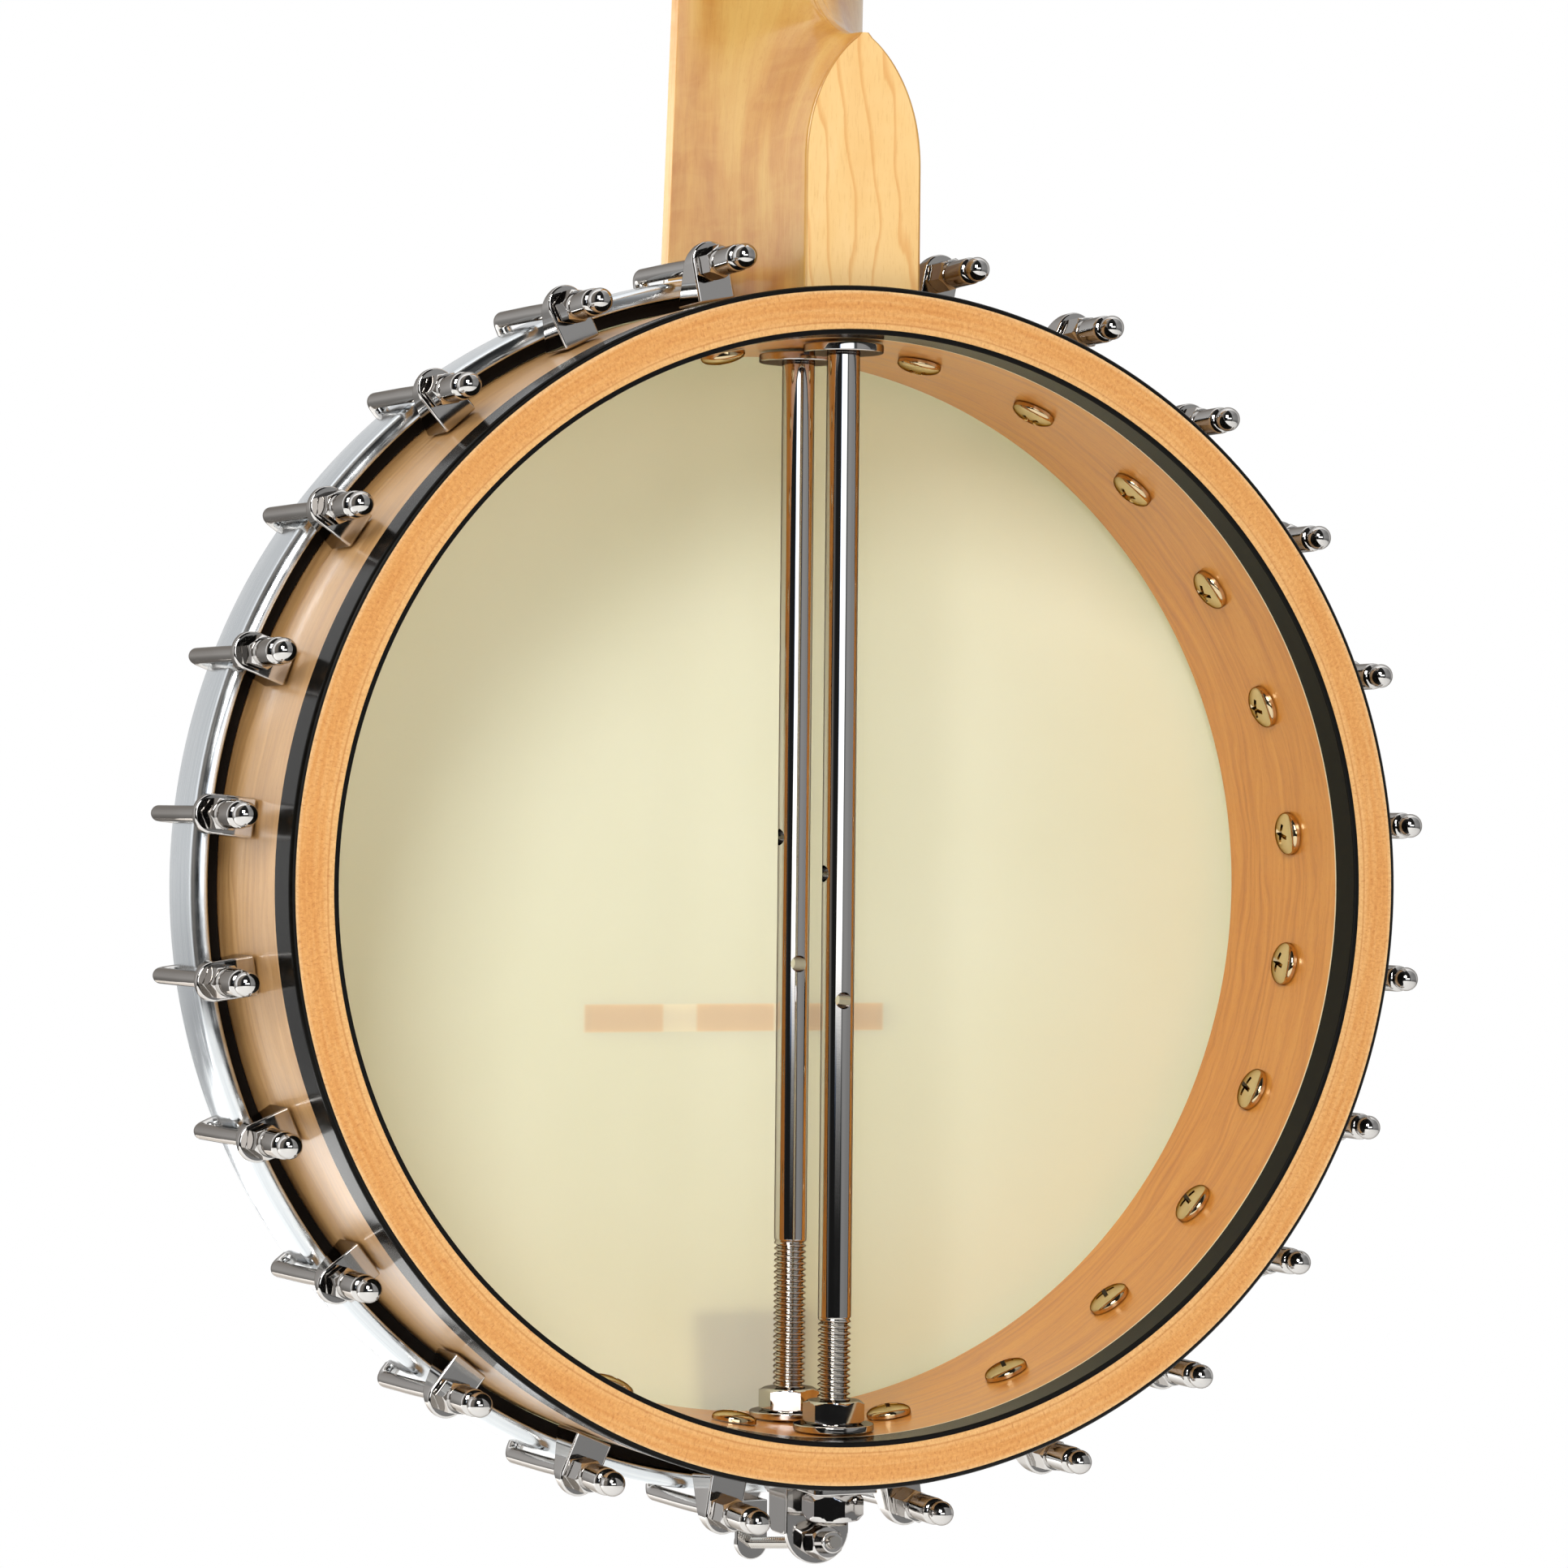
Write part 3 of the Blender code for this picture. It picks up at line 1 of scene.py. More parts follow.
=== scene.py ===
"""Looks of the open-back five-string banjo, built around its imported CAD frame.

Lengths are metres. Pieces are laid out in the pot frame: its origin lies on the pot's axis in the
rim's back plane, -Y looks out of the drum head and +Z runs up the neck.
"""

from math import cos, pi, radians, sin, sqrt, tan

import bmesh
import bpy
from mathutils import Matrix, Vector


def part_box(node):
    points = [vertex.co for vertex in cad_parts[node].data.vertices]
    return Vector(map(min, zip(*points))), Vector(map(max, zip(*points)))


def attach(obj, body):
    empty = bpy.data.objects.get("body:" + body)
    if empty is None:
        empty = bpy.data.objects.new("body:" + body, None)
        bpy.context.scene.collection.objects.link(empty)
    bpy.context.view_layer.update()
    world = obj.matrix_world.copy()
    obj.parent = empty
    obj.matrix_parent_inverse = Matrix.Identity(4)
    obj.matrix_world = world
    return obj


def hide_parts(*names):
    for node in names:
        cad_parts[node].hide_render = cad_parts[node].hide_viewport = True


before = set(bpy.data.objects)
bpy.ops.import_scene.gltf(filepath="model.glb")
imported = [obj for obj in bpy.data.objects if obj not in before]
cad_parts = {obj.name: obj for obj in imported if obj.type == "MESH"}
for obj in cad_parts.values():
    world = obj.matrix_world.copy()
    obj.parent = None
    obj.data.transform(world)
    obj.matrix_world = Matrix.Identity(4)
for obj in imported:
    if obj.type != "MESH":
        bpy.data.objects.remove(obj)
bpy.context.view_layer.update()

MM = 0.001
RIM_LOW, RIM_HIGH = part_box("rim")
POT_ORIGIN = Vector((0.0, RIM_HIGH.y, (RIM_LOW.z + RIM_HIGH.z) / 2))
POT = Matrix.Translation(POT_ORIGIN)
ROUND_STEPS = 256

# The pot, as radii about its axis and heights along Y
RIM_OUTER_RADIUS = (RIM_HIGH.x - RIM_LOW.x) / 2
RIM_INNER_RADIUS = 128.3 * MM
RIM_FRONT_Y = RIM_LOW.y - RIM_HIGH.y
OUTER_BINDING = (1.35 * MM, 11.5 * MM)
INNER_BINDING = (1.2 * MM, 9.0 * MM)
TONE_RING_RADIUS = 134.3 * MM
TONE_RING_WIRE = 3.175 * MM
HEAD_FRONT_Y = -70.55 * MM
HEAD_FILM = 0.45 * MM
HEAD_SKIRT_RADIUS = 140.5 * MM
HEAD_BEND = 1.6 * MM
FLESH_HOOP_RADIUS = 142.9 * MM
FLESH_HOOP_Y = (-56.5 * MM, -62.1 * MM)
HOOP_OUTER_RADIUS = 147.6 * MM
HOOP_INNER_RADIUS = 143.2 * MM
HOOP_LEDGE_RADIUS = 140.9 * MM
HOOP_BACK_Y = -52.7 * MM
HOOP_CROWN = 3.4 * MM
HOOP_BOW = 0.5 * MM
HOOP_LEDGE_Y = -62.5 * MM
HOOP_FRONT_Y = -71.9 * MM
GRAIN_RADIUS_MM = 134.0
FILM_TRANSLUCENCY = 0.26
FILM_CLARITY = 0.04

# The brackets
BRACKETS_A_SIDE = 12
BRACKET_FIRST = radians(11.5)
BRACKET_STEP = radians(14.5)
SHOE_BASE_RADIUS = 140.2 * MM
SHOE_ARCH_CENTRE = 149.8 * MM
SHOE_ARCH_RADIUS = 4.6 * MM
SHOE_BACK_Y = -28.0 * MM
SHOE_FRONT_Y_AT_BASE = -42.2 * MM
SHOE_FRONT_Y_AT_TOP = -30.5 * MM
HOOK_RADIUS = 1.9 * MM
HOOK_AXIS_AT_NUT = 148.7 * MM
HOOK_AXIS_AT_HOOP = 149.9 * MM
HOOK_AXIS_AT_BEND = 150.4 * MM
HOOK_LEG_Y = -74.2 * MM
HOOK_LEG_END_RADIUS = 144.6 * MM
HOOK_BEND = 2.6 * MM
NUT_HEX_Y = (-28.0 * MM, -20.6 * MM)
NUT_HEX_RADIUS = 4.0 * MM
NUT_BARREL_PROFILE = (
    (2.2, -9.6), (2.25, -10.2), (2.9, -10.5), (3.15, -10.9), (3.2, -11.4), (3.2, -18.9), (2.9, -19.3))
NUT_GROOVE_RADIUS = 2.35 * MM
NUT_GROOVE_Y = -19.6 * MM
NUT_BALL_RADIUS = 2.9 * MM
NUT_BALL_Y = -7.4 * MM
BOLT_Y = -30.8 * MM
BOLT_HEAD_RADIUS = 5.3 * MM
BOLT_HEAD_SEAT = 127.9 * MM
BOLT_HEAD_TOP = 125.3 * MM
BOLT_HEAD_RIM = 0.7 * MM
RECESS_HALF_LENGTH = 2.9 * MM
RECESS_HALF_WIDTH = 0.55 * MM
RECESS_DEPTH = 1.5 * MM
RECESS_TURN = radians(20)

# The coordinator rods
ROD_RADIUS = 3.9 * MM
ROD_Y = {"front": -45.0 * MM, "back": -17.9 * MM}
ROD_TOP_Z = 127.9 * MM
ROD_WASHER_Z = (125.4 * MM, 127.4 * MM)
ROD_WASHER_RADIUS = 9.5 * MM
ROD_NUT_Z = (-126.1 * MM, -120.6 * MM)
ROD_NUT_WASHER_Z = (-127.6 * MM, -126.0 * MM)
ROD_NUT_RADIUS = 7.3 * MM
ROD_END_NUT_RADIUS = {"front": 5.8 * MM, "back": 7.3 * MM}
ROD_END_NUT_Z = {"front": (-145.6 * MM, -140.2 * MM), "back": (-148.6 * MM, -142.3 * MM)}
ROD_END_Z = {"front": -147.0 * MM, "back": -149.7 * MM}
ROD_THREAD_TOP_Z = {"front": -84.8 * MM, "back": -100.9 * MM}
ROD_CROSS_HOLES_Z = {"front": (11.4 * MM, -18.9 * MM), "back": (3.0 * MM, -26.7 * MM)}
CROSS_HOLE_RADIUS = 2.0 * MM
THREAD_PITCH = 1.41 * MM
THREAD_DEPTH = 0.85 * MM

# The tailpiece, its hanger and its screw
HANGER_HALF_WIDTH = 8.0 * MM
HANGER_SHEET = 1.6 * MM
HANGER_TOP_Z = -140.2 * MM
HANGER_TOP_Y = -9.0 * MM
HANGER_WALL_Y = -27.6 * MM
HANGER_ARC_Z = -152.4 * MM
HANGER_CHEEK_Y = -38.0 * MM
HANGER_CHEEK_BOTTOM_Z = -153.5 * MM
SCREW_AXIS_Z = -155.4 * MM
SCREW_TILT = radians(8.0)
SCREW_RADIUS = 1.45 * MM
SCREW_START_Y = -70.5 * MM
SCREW_LENGTH = 55 * MM
SCREW_HEAD_Y = -71.4 * MM
SCREW_HEAD_PROFILE = ((0, 0), (2.6, 0), (3.4, 0.7), (3.4, 2.1), (0, 2.1))
SCREW_NUT_Y = -26.2 * MM
SCREW_NUT_RADIUS = 4.2 * MM
SCREW_NUT_LENGTH = 5.8 * MM
SCREW_COLLAR_Y = -21.0 * MM
SCREW_COLLAR_RADIUS = 2.6 * MM
SCREW_COLLAR_LENGTH = 3.5 * MM
TAIL_TAB_Y = -68.0 * MM
TAIL_TAB_HALF_WIDTH = 4.0 * MM
TAIL_STRAP_Z = (-152.4 * MM, -150.6 * MM)
TAIL_PLATE_Y = (-75.6 * MM, -74.0 * MM)
TAIL_PLATE_END_Z = -104.0 * MM
TAIL_PLATE_HALF_WIDTH = 15.5 * MM
TAIL_BAR_Y = -79.6 * MM
TAIL_BAR_Z = -110.0 * MM

# The neck, measured up the fingerboard from its end at the pot
SCALE_LENGTH = 665.0 * MM
FRET_COUNT = 22
NECK_PITCH = radians(2.2)
BOARD_END_Z = 148.4 * MM
BOARD_END_Y = -74.0 * MM
BOARD_THICKNESS = 5.0 * MM
BOARD_LENGTH = 483.2 * MM
GLUE_GAP = 0.3 * MM
HALF_WIDTH_AT_POT = 24.6 * MM
HALF_WIDTH_AT_NUT = 16.0 * MM
BASS_HALF_WIDTH_AT_FIFTH = 22.5 * MM
SHOULDER_START = 340.0 * MM
SHOULDER_END = 361.0 * MM
BASS_HALF_WIDTH_ABOVE_FIFTH = 16.8 * MM
NECK_DEPTH_AT_HEEL = 25.5 * MM
NECK_DEPTH_AT_NUT = 20.5 * MM
HEEL_BACK_Y = -7.0 * MM
HEEL_CAP_HALF_WIDTH = 14.8 * MM
HEEL_CAP_ARCH_Z = 168.0 * MM
HEEL_CAP_TOP_Z = 199.5 * MM
HEEL_CURVE_END_Z = 242.0 * MM
KEEL_HALF_WIDTH = 1.2 * MM
HEEL_EDGE = 0.7 * MM
HEEL_SIDE_ROWS = 22
NUT_LENGTH = 5.0 * MM
NUT_RISE = 1.5 * MM
NUT_BACK_RISE = 0.2 * MM
NUT_LAND = 1.2 * MM
FRET_HALF_WIDTH = 1.1 * MM
FRET_HEIGHT = 1.0 * MM
DOT_RADIUS = 3.0 * MM
DOT_FRETS = (3, 5, 7, 10, 15, 17, 19, 22)
DOUBLE_DOT_FRET = 12
DOUBLE_DOT_X = 7.5 * MM
DOT_RISE = 0.04 * MM
PIP_RADIUS = 1.1 * MM
PIP_ABOVE_FRET = 4 * MM
PEGHEAD_TILT = NECK_PITCH + radians(14.0)
PEGHEAD_DROP = 2.0 * MM
PEGHEAD_THICKNESS = 14.0 * MM
OVERLAY_THICKNESS = 2.0 * MM
PEGHEAD_LENGTH = 152.0 * MM
PEGHEAD_SIDE = (
    (16.2, 0.0), (16.5, 4.0), (17.2, 7.0), (18.4, 11.0), (20.0, 15.0), (22.6, 19.0), (25.5, 23.0),
    (28.3, 26.0), (30.5, 29.0), (31.9, 32.0), (32.6, 36.0), (34.4, 80.0), (35.8, 124.0), (35.75, 129.0),
    (35.2, 134.0), (33.6, 138.0), (31.0, 141.0), (27.0, 144.0), (22.0, 146.5), (16.4, 148.8), (10.0, 150.6),
    (5.0, 151.6))

# Bridge and strings
BRIDGE_X = 4.5 * MM
BRIDGE_Z = (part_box("bridge")[0].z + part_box("bridge")[1].z) / 2 - POT_ORIGIN.z
BRIDGE_FOOT_LENGTH = 20.2 * MM
TAIL_STRINGS_X = 2.5 * MM
BRIDGE_HALF_LENGTH = 39.3 * MM
BRIDGE_HEIGHT = 15.9 * MM
BRIDGE_FOOT_THICKNESS = 6.6 * MM
BRIDGE_TOP_THICKNESS = 2.4 * MM
BRIDGE_ARCH_RISE = 5.0 * MM
NOTCH_HALF_WIDTH = 0.45 * MM
NOTCH_DEPTH = 0.35 * MM
STRING_CLEARANCE = 0.3 * MM
STRING_RADII = (0.13 * MM, 0.15 * MM, 0.18 * MM, 0.28 * MM, 0.13 * MM)
BRIDGE_SPACING = 10.5 * MM
NUT_SPACING = 7.5 * MM
TAIL_SPACING = 5.6 * MM
FIFTH_STRING_X = -19.9 * MM

# The tuners, measured along their axes from the face they are fastened to
TUNER_X = 22.0 * MM
TUNER_ROWS = (52.0 * MM, 104.0 * MM)
TUNER_CAN_DEPTH = 15.0 * MM
TUNER_BUSHING_PROFILE = ((3.4, 3), (5.4, 3), (6.8, 0.4), (4.7, 0.4))
TUNER_CAN_PROFILE = (
    (4.7, -0.4), (8, -0.4), (8, -2.6), (7.5, -3.0), (7.5, -10.4), (8, -10.8), (8, -13), (6, -15), (2.5, -15),
    (2.5, -3.6), (3.4, -3.6))
POST_REACH = 17.0 * MM
POST_RADIUS = 3.0 * MM
SHAFT_RADIUS = 2.1 * MM
BUTTON_SIZE = (9.5 * MM, 5.5 * MM, 9.0 * MM)
BUTTON_GAP = 2.4 * MM
STRING_AT_POST = 22.6 * MM
FIFTH_PEG_ABOVE_FRET = 15.4 * MM
FIFTH_PEG_DEPTH = 7.6 * MM
SPOOL_RADIUS = 3.4 * MM
SPOOL_MIDDLE = 4.8 * MM
SPOOL_PROFILE = ((1.9, 8.8), (4.6, 8.8), (3.4, 7.6), (3.4, 2.5), (4.6, 1.3), (1.9, 1.3))
FIFTH_CAN_LENGTH = 20.5 * MM
FIFTH_CAN_PROFILE = (
    (2.5, 20.5), (5.4, 20.5), (6.8, 18.5), (6.8, 9.2), (1.5, 9.2), (1.5, 0.9), (4.2, 0.9), (4.2, 0.0),
    (2.75, 0.0), (2.75, -12), (0.0, -12), (0.0, 13.5), (2.5, 13.5))


# ---------------------------------------------------------------- shapes

def mesh_of(name, points, faces):
    """A mesh whose doubled points are welded and whose faces all look outwards."""
    work = bmesh.new()
    made = [work.verts.new(point) for point in points]
    for face in faces:
        work.faces.new([made[i] for i in face])
    bmesh.ops.remove_doubles(work, verts=work.verts, dist=1e-8)
    bmesh.ops.recalc_face_normals(work, faces=work.faces)
    mesh = bpy.data.meshes.new(name)
    work.to_mesh(mesh)
    work.free()
    return mesh


def skin(name, rings, closed_along=False, caps=False):
    """Quads through rings that all have the same number of points."""
    count, around = len(rings), len(rings[0])
    points = [point for ring in rings for point in ring]
    faces = []
    for i in range(count if closed_along else count - 1):
        j = (i + 1) % count
        for k in range(around):
            n = (k + 1) % around
            faces.append((i * around + k, j * around + k, j * around + n, i * around + n))
    if caps:
        faces.append(tuple(range(around)))
        faces.append(tuple(range((count - 1) * around, count * around)))
    return mesh_of(name, points, faces)


def rounded(outline, radius, steps=3, keep_axis=True):
    """A closed outline with each corner replaced by a short curve."""
    points = [Vector(point) for point in outline]
    result = []
    for i, corner in enumerate(points):
        before, after = points[i - 1], points[(i + 1) % len(points)]
        if keep_axis and abs(corner.x) < 1e-9:
            result.append(tuple(corner))
            continue
        reach = min(radius, 0.45 * (before - corner).length, 0.45 * (after - corner).length)
        start = corner + (before - corner).normalized() * reach
        end = corner + (after - corner).normalized() * reach
        for k in range(steps + 1):
            t = k / steps
            result.append(tuple(start * (1 - t) ** 2 + corner * 2 * t * (1 - t) + end * t * t))
    return result


def turned(name, profile, steps=ROUND_STEPS, along="Z"):
    """A closed profile of (radius, height) points turned about local Z or Y."""
    rings = []
    for i in range(steps):
        c, s = cos(2 * pi * i / steps), sin(2 * pi * i / steps)
        if along == "Z":
            rings.append([(r * c, r * s, h) for r, h in profile])
        else:
            rings.append([(r * s, h, r * c) for r, h in profile])
    return skin(name, rings, closed_along=True)


def prism(name, outline, low, high, axis="Y"):
    """A flat outline given thickness along an axis; its points are the other two in order."""
    order = {"X": lambda a, b, t: (t, a, b), "Y": lambda a, b, t: (a, t, b), "Z": lambda a, b, t: (a, b, t)}
    rings = [[order[axis](a, b, t) for a, b in outline] for t in (low, high)]
    return skin(name, rings, caps=True)


def swept(name, path, radius, sides=20):
    """A round bar along a path, with softly rounded ends."""
    path = [Vector(point) for point in path]
    first, last = (path[1] - path[0]).normalized(), (path[-1] - path[-2]).normalized()
    side = first.orthogonal().normalized()
    rings = []
    for i, point in enumerate(path):
        ahead = path[min(i + 1, len(path) - 1)] - path[max(i - 1, 0)]
        ahead.normalize()
        side = (side - ahead * side.dot(ahead)).normalized()
        up = ahead.cross(side)
        shrink = [(1.0, 0.0)]
        if i == 0:
            shrink = [(0.55, -0.45), (0.85, -0.3), (1.0, 0.0)]
        if i == len(path) - 1:
            shrink = [(1.0, 0.0), (0.85, 0.3), (0.55, 0.45)]
        for scale, push in shrink:
            centre = point + (first if i == 0 else last) * push * radius
            ring = [2 * pi * k / sides for k in range(sides)]
            rings.append([centre + (side * cos(a) + up * sin(a)) * radius * scale for a in ring])
    return skin(name, rings, caps=True)


def filleted(path, radius, steps=8):
    """An open path with its corners rounded."""
    path = [Vector(point) for point in path]
    result = [path[0]]
    for before, corner, after in zip(path, path[1:], path[2:]):
        reach = min(radius, 0.49 * (before - corner).length, 0.49 * (after - corner).length)
        start = corner + (before - corner).normalized() * reach
        end = corner + (after - corner).normalized() * reach
        for k in range(steps + 1):
            t = k / steps
            result.append(start * (1 - t) ** 2 + corner * 2 * t * (1 - t) + end * t * t)
    return result + [path[-1]]


def arc(centre, radius, start, end, steps):
    """Points on an arc, ends included; angles in degrees from the first axis."""
    angles = [radians(start + (end - start) * i / steps) for i in range(steps + 1)]
    return [(centre[0] + radius * cos(a), centre[1] + radius * sin(a)) for a in angles]


def rectangle(left, right, low, high):
    return [(left, low), (right, low), (right, high), (left, high)]


def mm(points, rise=0.0):
    """Points given in millimetres, the second coordinate counted from a height in metres."""
    return [(x * MM, rise + y * MM) for x, y in points]


def with_mirror(side, middle=()):
    """The right half of an outline, the points on its centre line, and its left half."""
    return side + list(middle) + [(-x, y) for x, y in reversed(side)]


def blend(a, b, t):
    return a + (b - a) * max(0.0, min(1.0, t))


def smooth_step(t):
    t = max(0.0, min(1.0, t))
    return t * t * (3.0 - 2.0 * t)


def baked(mesh, setup):
    """The mesh after the modifiers that setup(object) adds."""
    obj = bpy.data.objects.new("baking", mesh)
    bpy.context.scene.collection.objects.link(obj)
    setup(obj)
    bpy.context.view_layer.update()
    graph = bpy.context.evaluated_depsgraph_get()
    made = bpy.data.meshes.new_from_object(obj.evaluated_get(graph))
    made.name = mesh.name
    bpy.data.objects.remove(obj, do_unlink=True)
    return made


def bevelled(mesh, width, segments=3, angle=35.0):
    def setup(obj):
        step = obj.modifiers.new("bevel", "BEVEL")
        step.width = width
        step.segments = segments
        step.limit_method = "ANGLE"
        step.angle_limit = radians(angle)
        step.use_clamp_overlap = True
    return baked(mesh, setup)


def combined(mesh, other, operation):
    """Exact union, difference or intersection of two closed meshes."""
    helper = bpy.data.objects.new("helper", other)
    bpy.context.scene.collection.objects.link(helper)

    def setup(obj):
        step = obj.modifiers.new("combine", "BOOLEAN")
        step.operation = operation
        step.solver = "EXACT"
        step.object = helper
    made = baked(mesh, setup)
    bpy.data.objects.remove(helper, do_unlink=True)
    return made


def cut(mesh, tool):
    return combined(mesh, tool, "DIFFERENCE")


def merged(name, meshes):
    """Several meshes in one, each left as it is."""
    work = bmesh.new()
    for mesh in meshes:
        work.from_mesh(mesh)
    made = bpy.data.meshes.new(name)
    work.to_mesh(made)
    work.free()
    return made


def moved(mesh, matrix):
    mesh.transform(matrix)
    return mesh


def shift(x=0.0, y=0.0, z=0.0):
    return Matrix.Translation((x, y, z))


def quarter_turn(axis, sign=1):
    return Matrix.Rotation(sign * pi / 2, 4, axis)


ALONG_Y = quarter_turn("X", -1)


def piece(name, mesh, materials, slot, place=POT, body="banjo", stands_for=(), pick=None, sharp=30.0):
    """Puts a finished mesh in the scene on its body. pick(centre, normal) chooses a face's material."""
    obj = bpy.data.objects.new(name, mesh)
    bpy.context.scene.collection.objects.link(obj)
    obj.matrix_world = place
    if not mesh.materials:
        if sharp:
            mesh.shade_smooth()
            mesh.set_sharp_from_angle(angle=radians(sharp))
        for finish in materials:
            mesh.materials.append(finish)
        if pick:
            for face in mesh.polygons:
                face.material_index = pick(face.center, face.normal)
    weigh = obj.modifiers.new("face_weighted_normals", "WEIGHTED_NORMAL")
    weigh.keep_sharp = True
    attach(obj, body)
    if stands_for:
        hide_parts(*stands_for)
    return obj


def stand_in(node, mesh, materials, slot, *place, name=None, **settings):
    """A piece that takes one CAD node's place and, unless told otherwise, its name."""
    piece(name or f"{node}_look", mesh, materials, slot, *place, stands_for=[node], **settings)


# ---------------------------------------------------------------- materials

def srgb(red, green, blue):
    """A display colour, 0 to 255, as a linear one."""
    values = [v / 255 for v in (red, green, blue)]
    return (*[v / 12.92 if v <= 0.04045 else ((v + 0.055) / 1.055) ** 2.4 for v in values], 1.0)


class Nodes:
    """Short ways to add to a node tree. A value is a number, a colour or another node's output."""

    def __init__(self, tree):
        self.tree = tree

    def join(self, socket, value):
        if isinstance(value, bpy.types.NodeSocket):
            self.tree.links.new(value, socket)
        else:
            socket.default_value = value

    def add(self, kind, inputs, output=0, **settings):
        node = self.tree.nodes.new("ShaderNode" + kind)
        for key, value in settings.items():
            setattr(node, key, value)
        for key, value in inputs.items():
            self.join(node.inputs[key], value)
        return node.outputs[output]

    def math(self, operation, a, b=0.0):
        return self.add("Math", {0: a, 1: b}, operation=operation)

    def plus(self, a, b):
        return self.math("ADD", a, b)

    def times(self, a, b):
        return self.math("MULTIPLY", a, b)

    def apart(self, a, b):
        return self.math("ABSOLUTE", self.math("SUBTRACT", a, b))

    def split(self, vector):
        node = self.tree.nodes.new("ShaderNodeSeparateXYZ")
        self.join(node.inputs[0], vector)
        return tuple(node.outputs)

    def ramp(self, factor, stops):
        """Greys or colours blended between the given positions."""
        node = self.tree.nodes.new("ShaderNodeValToRGB")
        elements = node.color_ramp.elements
        while len(elements) < len(stops):
            elements.new(0.5)
        for element, (position, value) in zip(elements, stops):
            element.position = position
            element.color = (*value[:3], 1.0) if isinstance(value, tuple) else (value, value, value, 1.0)
        self.join(node.inputs[0], factor)
        return node.outputs[0]

    def between(self, factor, low, high, start=0.3, end=0.7):
        return self.ramp(factor, [(start, low), (end, high)])


class Finish(Nodes):
    """A material. Its grain is laid out in millimetres on the piece's own axes."""

    def __init__(self, name, **settings):
        self.made = bpy.data.materials.new(name)
        self.made.use_nodes = True
        super().__init__(self.made.node_tree)
        self.shader = self.tree.nodes["Principled BSDF"]
        place = self.add("TexCoord", {}, output="Object")
        self.axes = self.split(self.add("VectorMath", {0: place, 1: (1000.0,) * 3}, operation="MULTIPLY"))
        for key, value in settings.items():
            self.set(key.replace("_", " ").title().replace("Ior", "IOR"), value)

    def set(self, socket, value):
        self.join(self.shader.inputs[socket], value)

    def round_the_pot(self):
        """Distance from the pot's axis, distance round it from the top, and depth, all in millimetres."""
        x, y, z = self.axes
        radius = self.math("SQRT", self.plus(self.times(x, x), self.times(z, z)))
        angle = self.math("ABSOLUTE", self.math("ARCTAN2", x, z))
        return radius, self.times(angle, GRAIN_RADIUS_MM), y

    def place(self, *coordinates):
        """A point from three coordinates, each a number or a (value, rate) pair."""
        values = [self.times(*value) if isinstance(value, tuple) else value for value in coordinates]
        return self.add("CombineXYZ", dict(enumerate(values)))

    def stretched(self, *rates):
        """The piece's own place, each coordinate times its rate, or all times one rate."""
        return self.place(*zip(self.axes, rates if len(rates) > 1 else rates * 3))

    def noise(self, place, detail=4.0, rough=0.55, distortion=0.0):
        return self.add("TexNoise", {
            "Vector": place, "Scale": 1.0, "Detail": detail, "Roughness": rough, "Distortion": distortion})

    def mix(self, factor, a, b, mode="MIX"):
        node = self.tree.nodes.new("ShaderNodeMix")
        node.data_type = "RGBA"
        node.blend_type = mode
        for index, value in ((0, factor), (6, a), (7, b)):
            self.join(node.inputs[index], value)
        return node.outputs[2]

    def tinted(self, colour, tint):
        return self.mix(1.0, colour, tint, mode="MULTIPLY")

    def stained(self, colour, factor, tint):
        return self.mix(factor, colour, self.tinted(colour, tint))

    def finished(self, colour, roughness, relief, strength, distance):
        """Sets colour, roughness and relief, its distance in millimetres, and hands back the material."""
        bump = self.add("Bump", {"Height": relief, "Strength": strength, "Distance": distance * MM})
        for socket, value in (("Base Color", colour), ("Roughness", roughness), ("Normal", bump)):
            self.set(socket, value)
        return self.made


def polished(name, colour, roughness, smudge=0.06, edge=srgb(214, 206, 198)):
    """Plated metal with faint handling marks and hairlines; edge tints its glancing reflections, and a dark or
    brown edge there is a painted reflection.
    """
    finish = Finish(name, metallic=1.0, specular_tint=edge)
    clouds = finish.noise(finish.stretched(0.11), detail=5.0)
    hairs = finish.noise(finish.stretched(0.9, 0.9, 7.0), detail=3.0)
    marks = finish.plus(finish.times(clouds, 0.7), finish.times(hairs, 0.3))
    gloss = finish.between(marks, roughness, roughness + smudge, 0.35, 0.7)
    return finish.finished(colour, gloss, hairs, 0.02, 0.02)


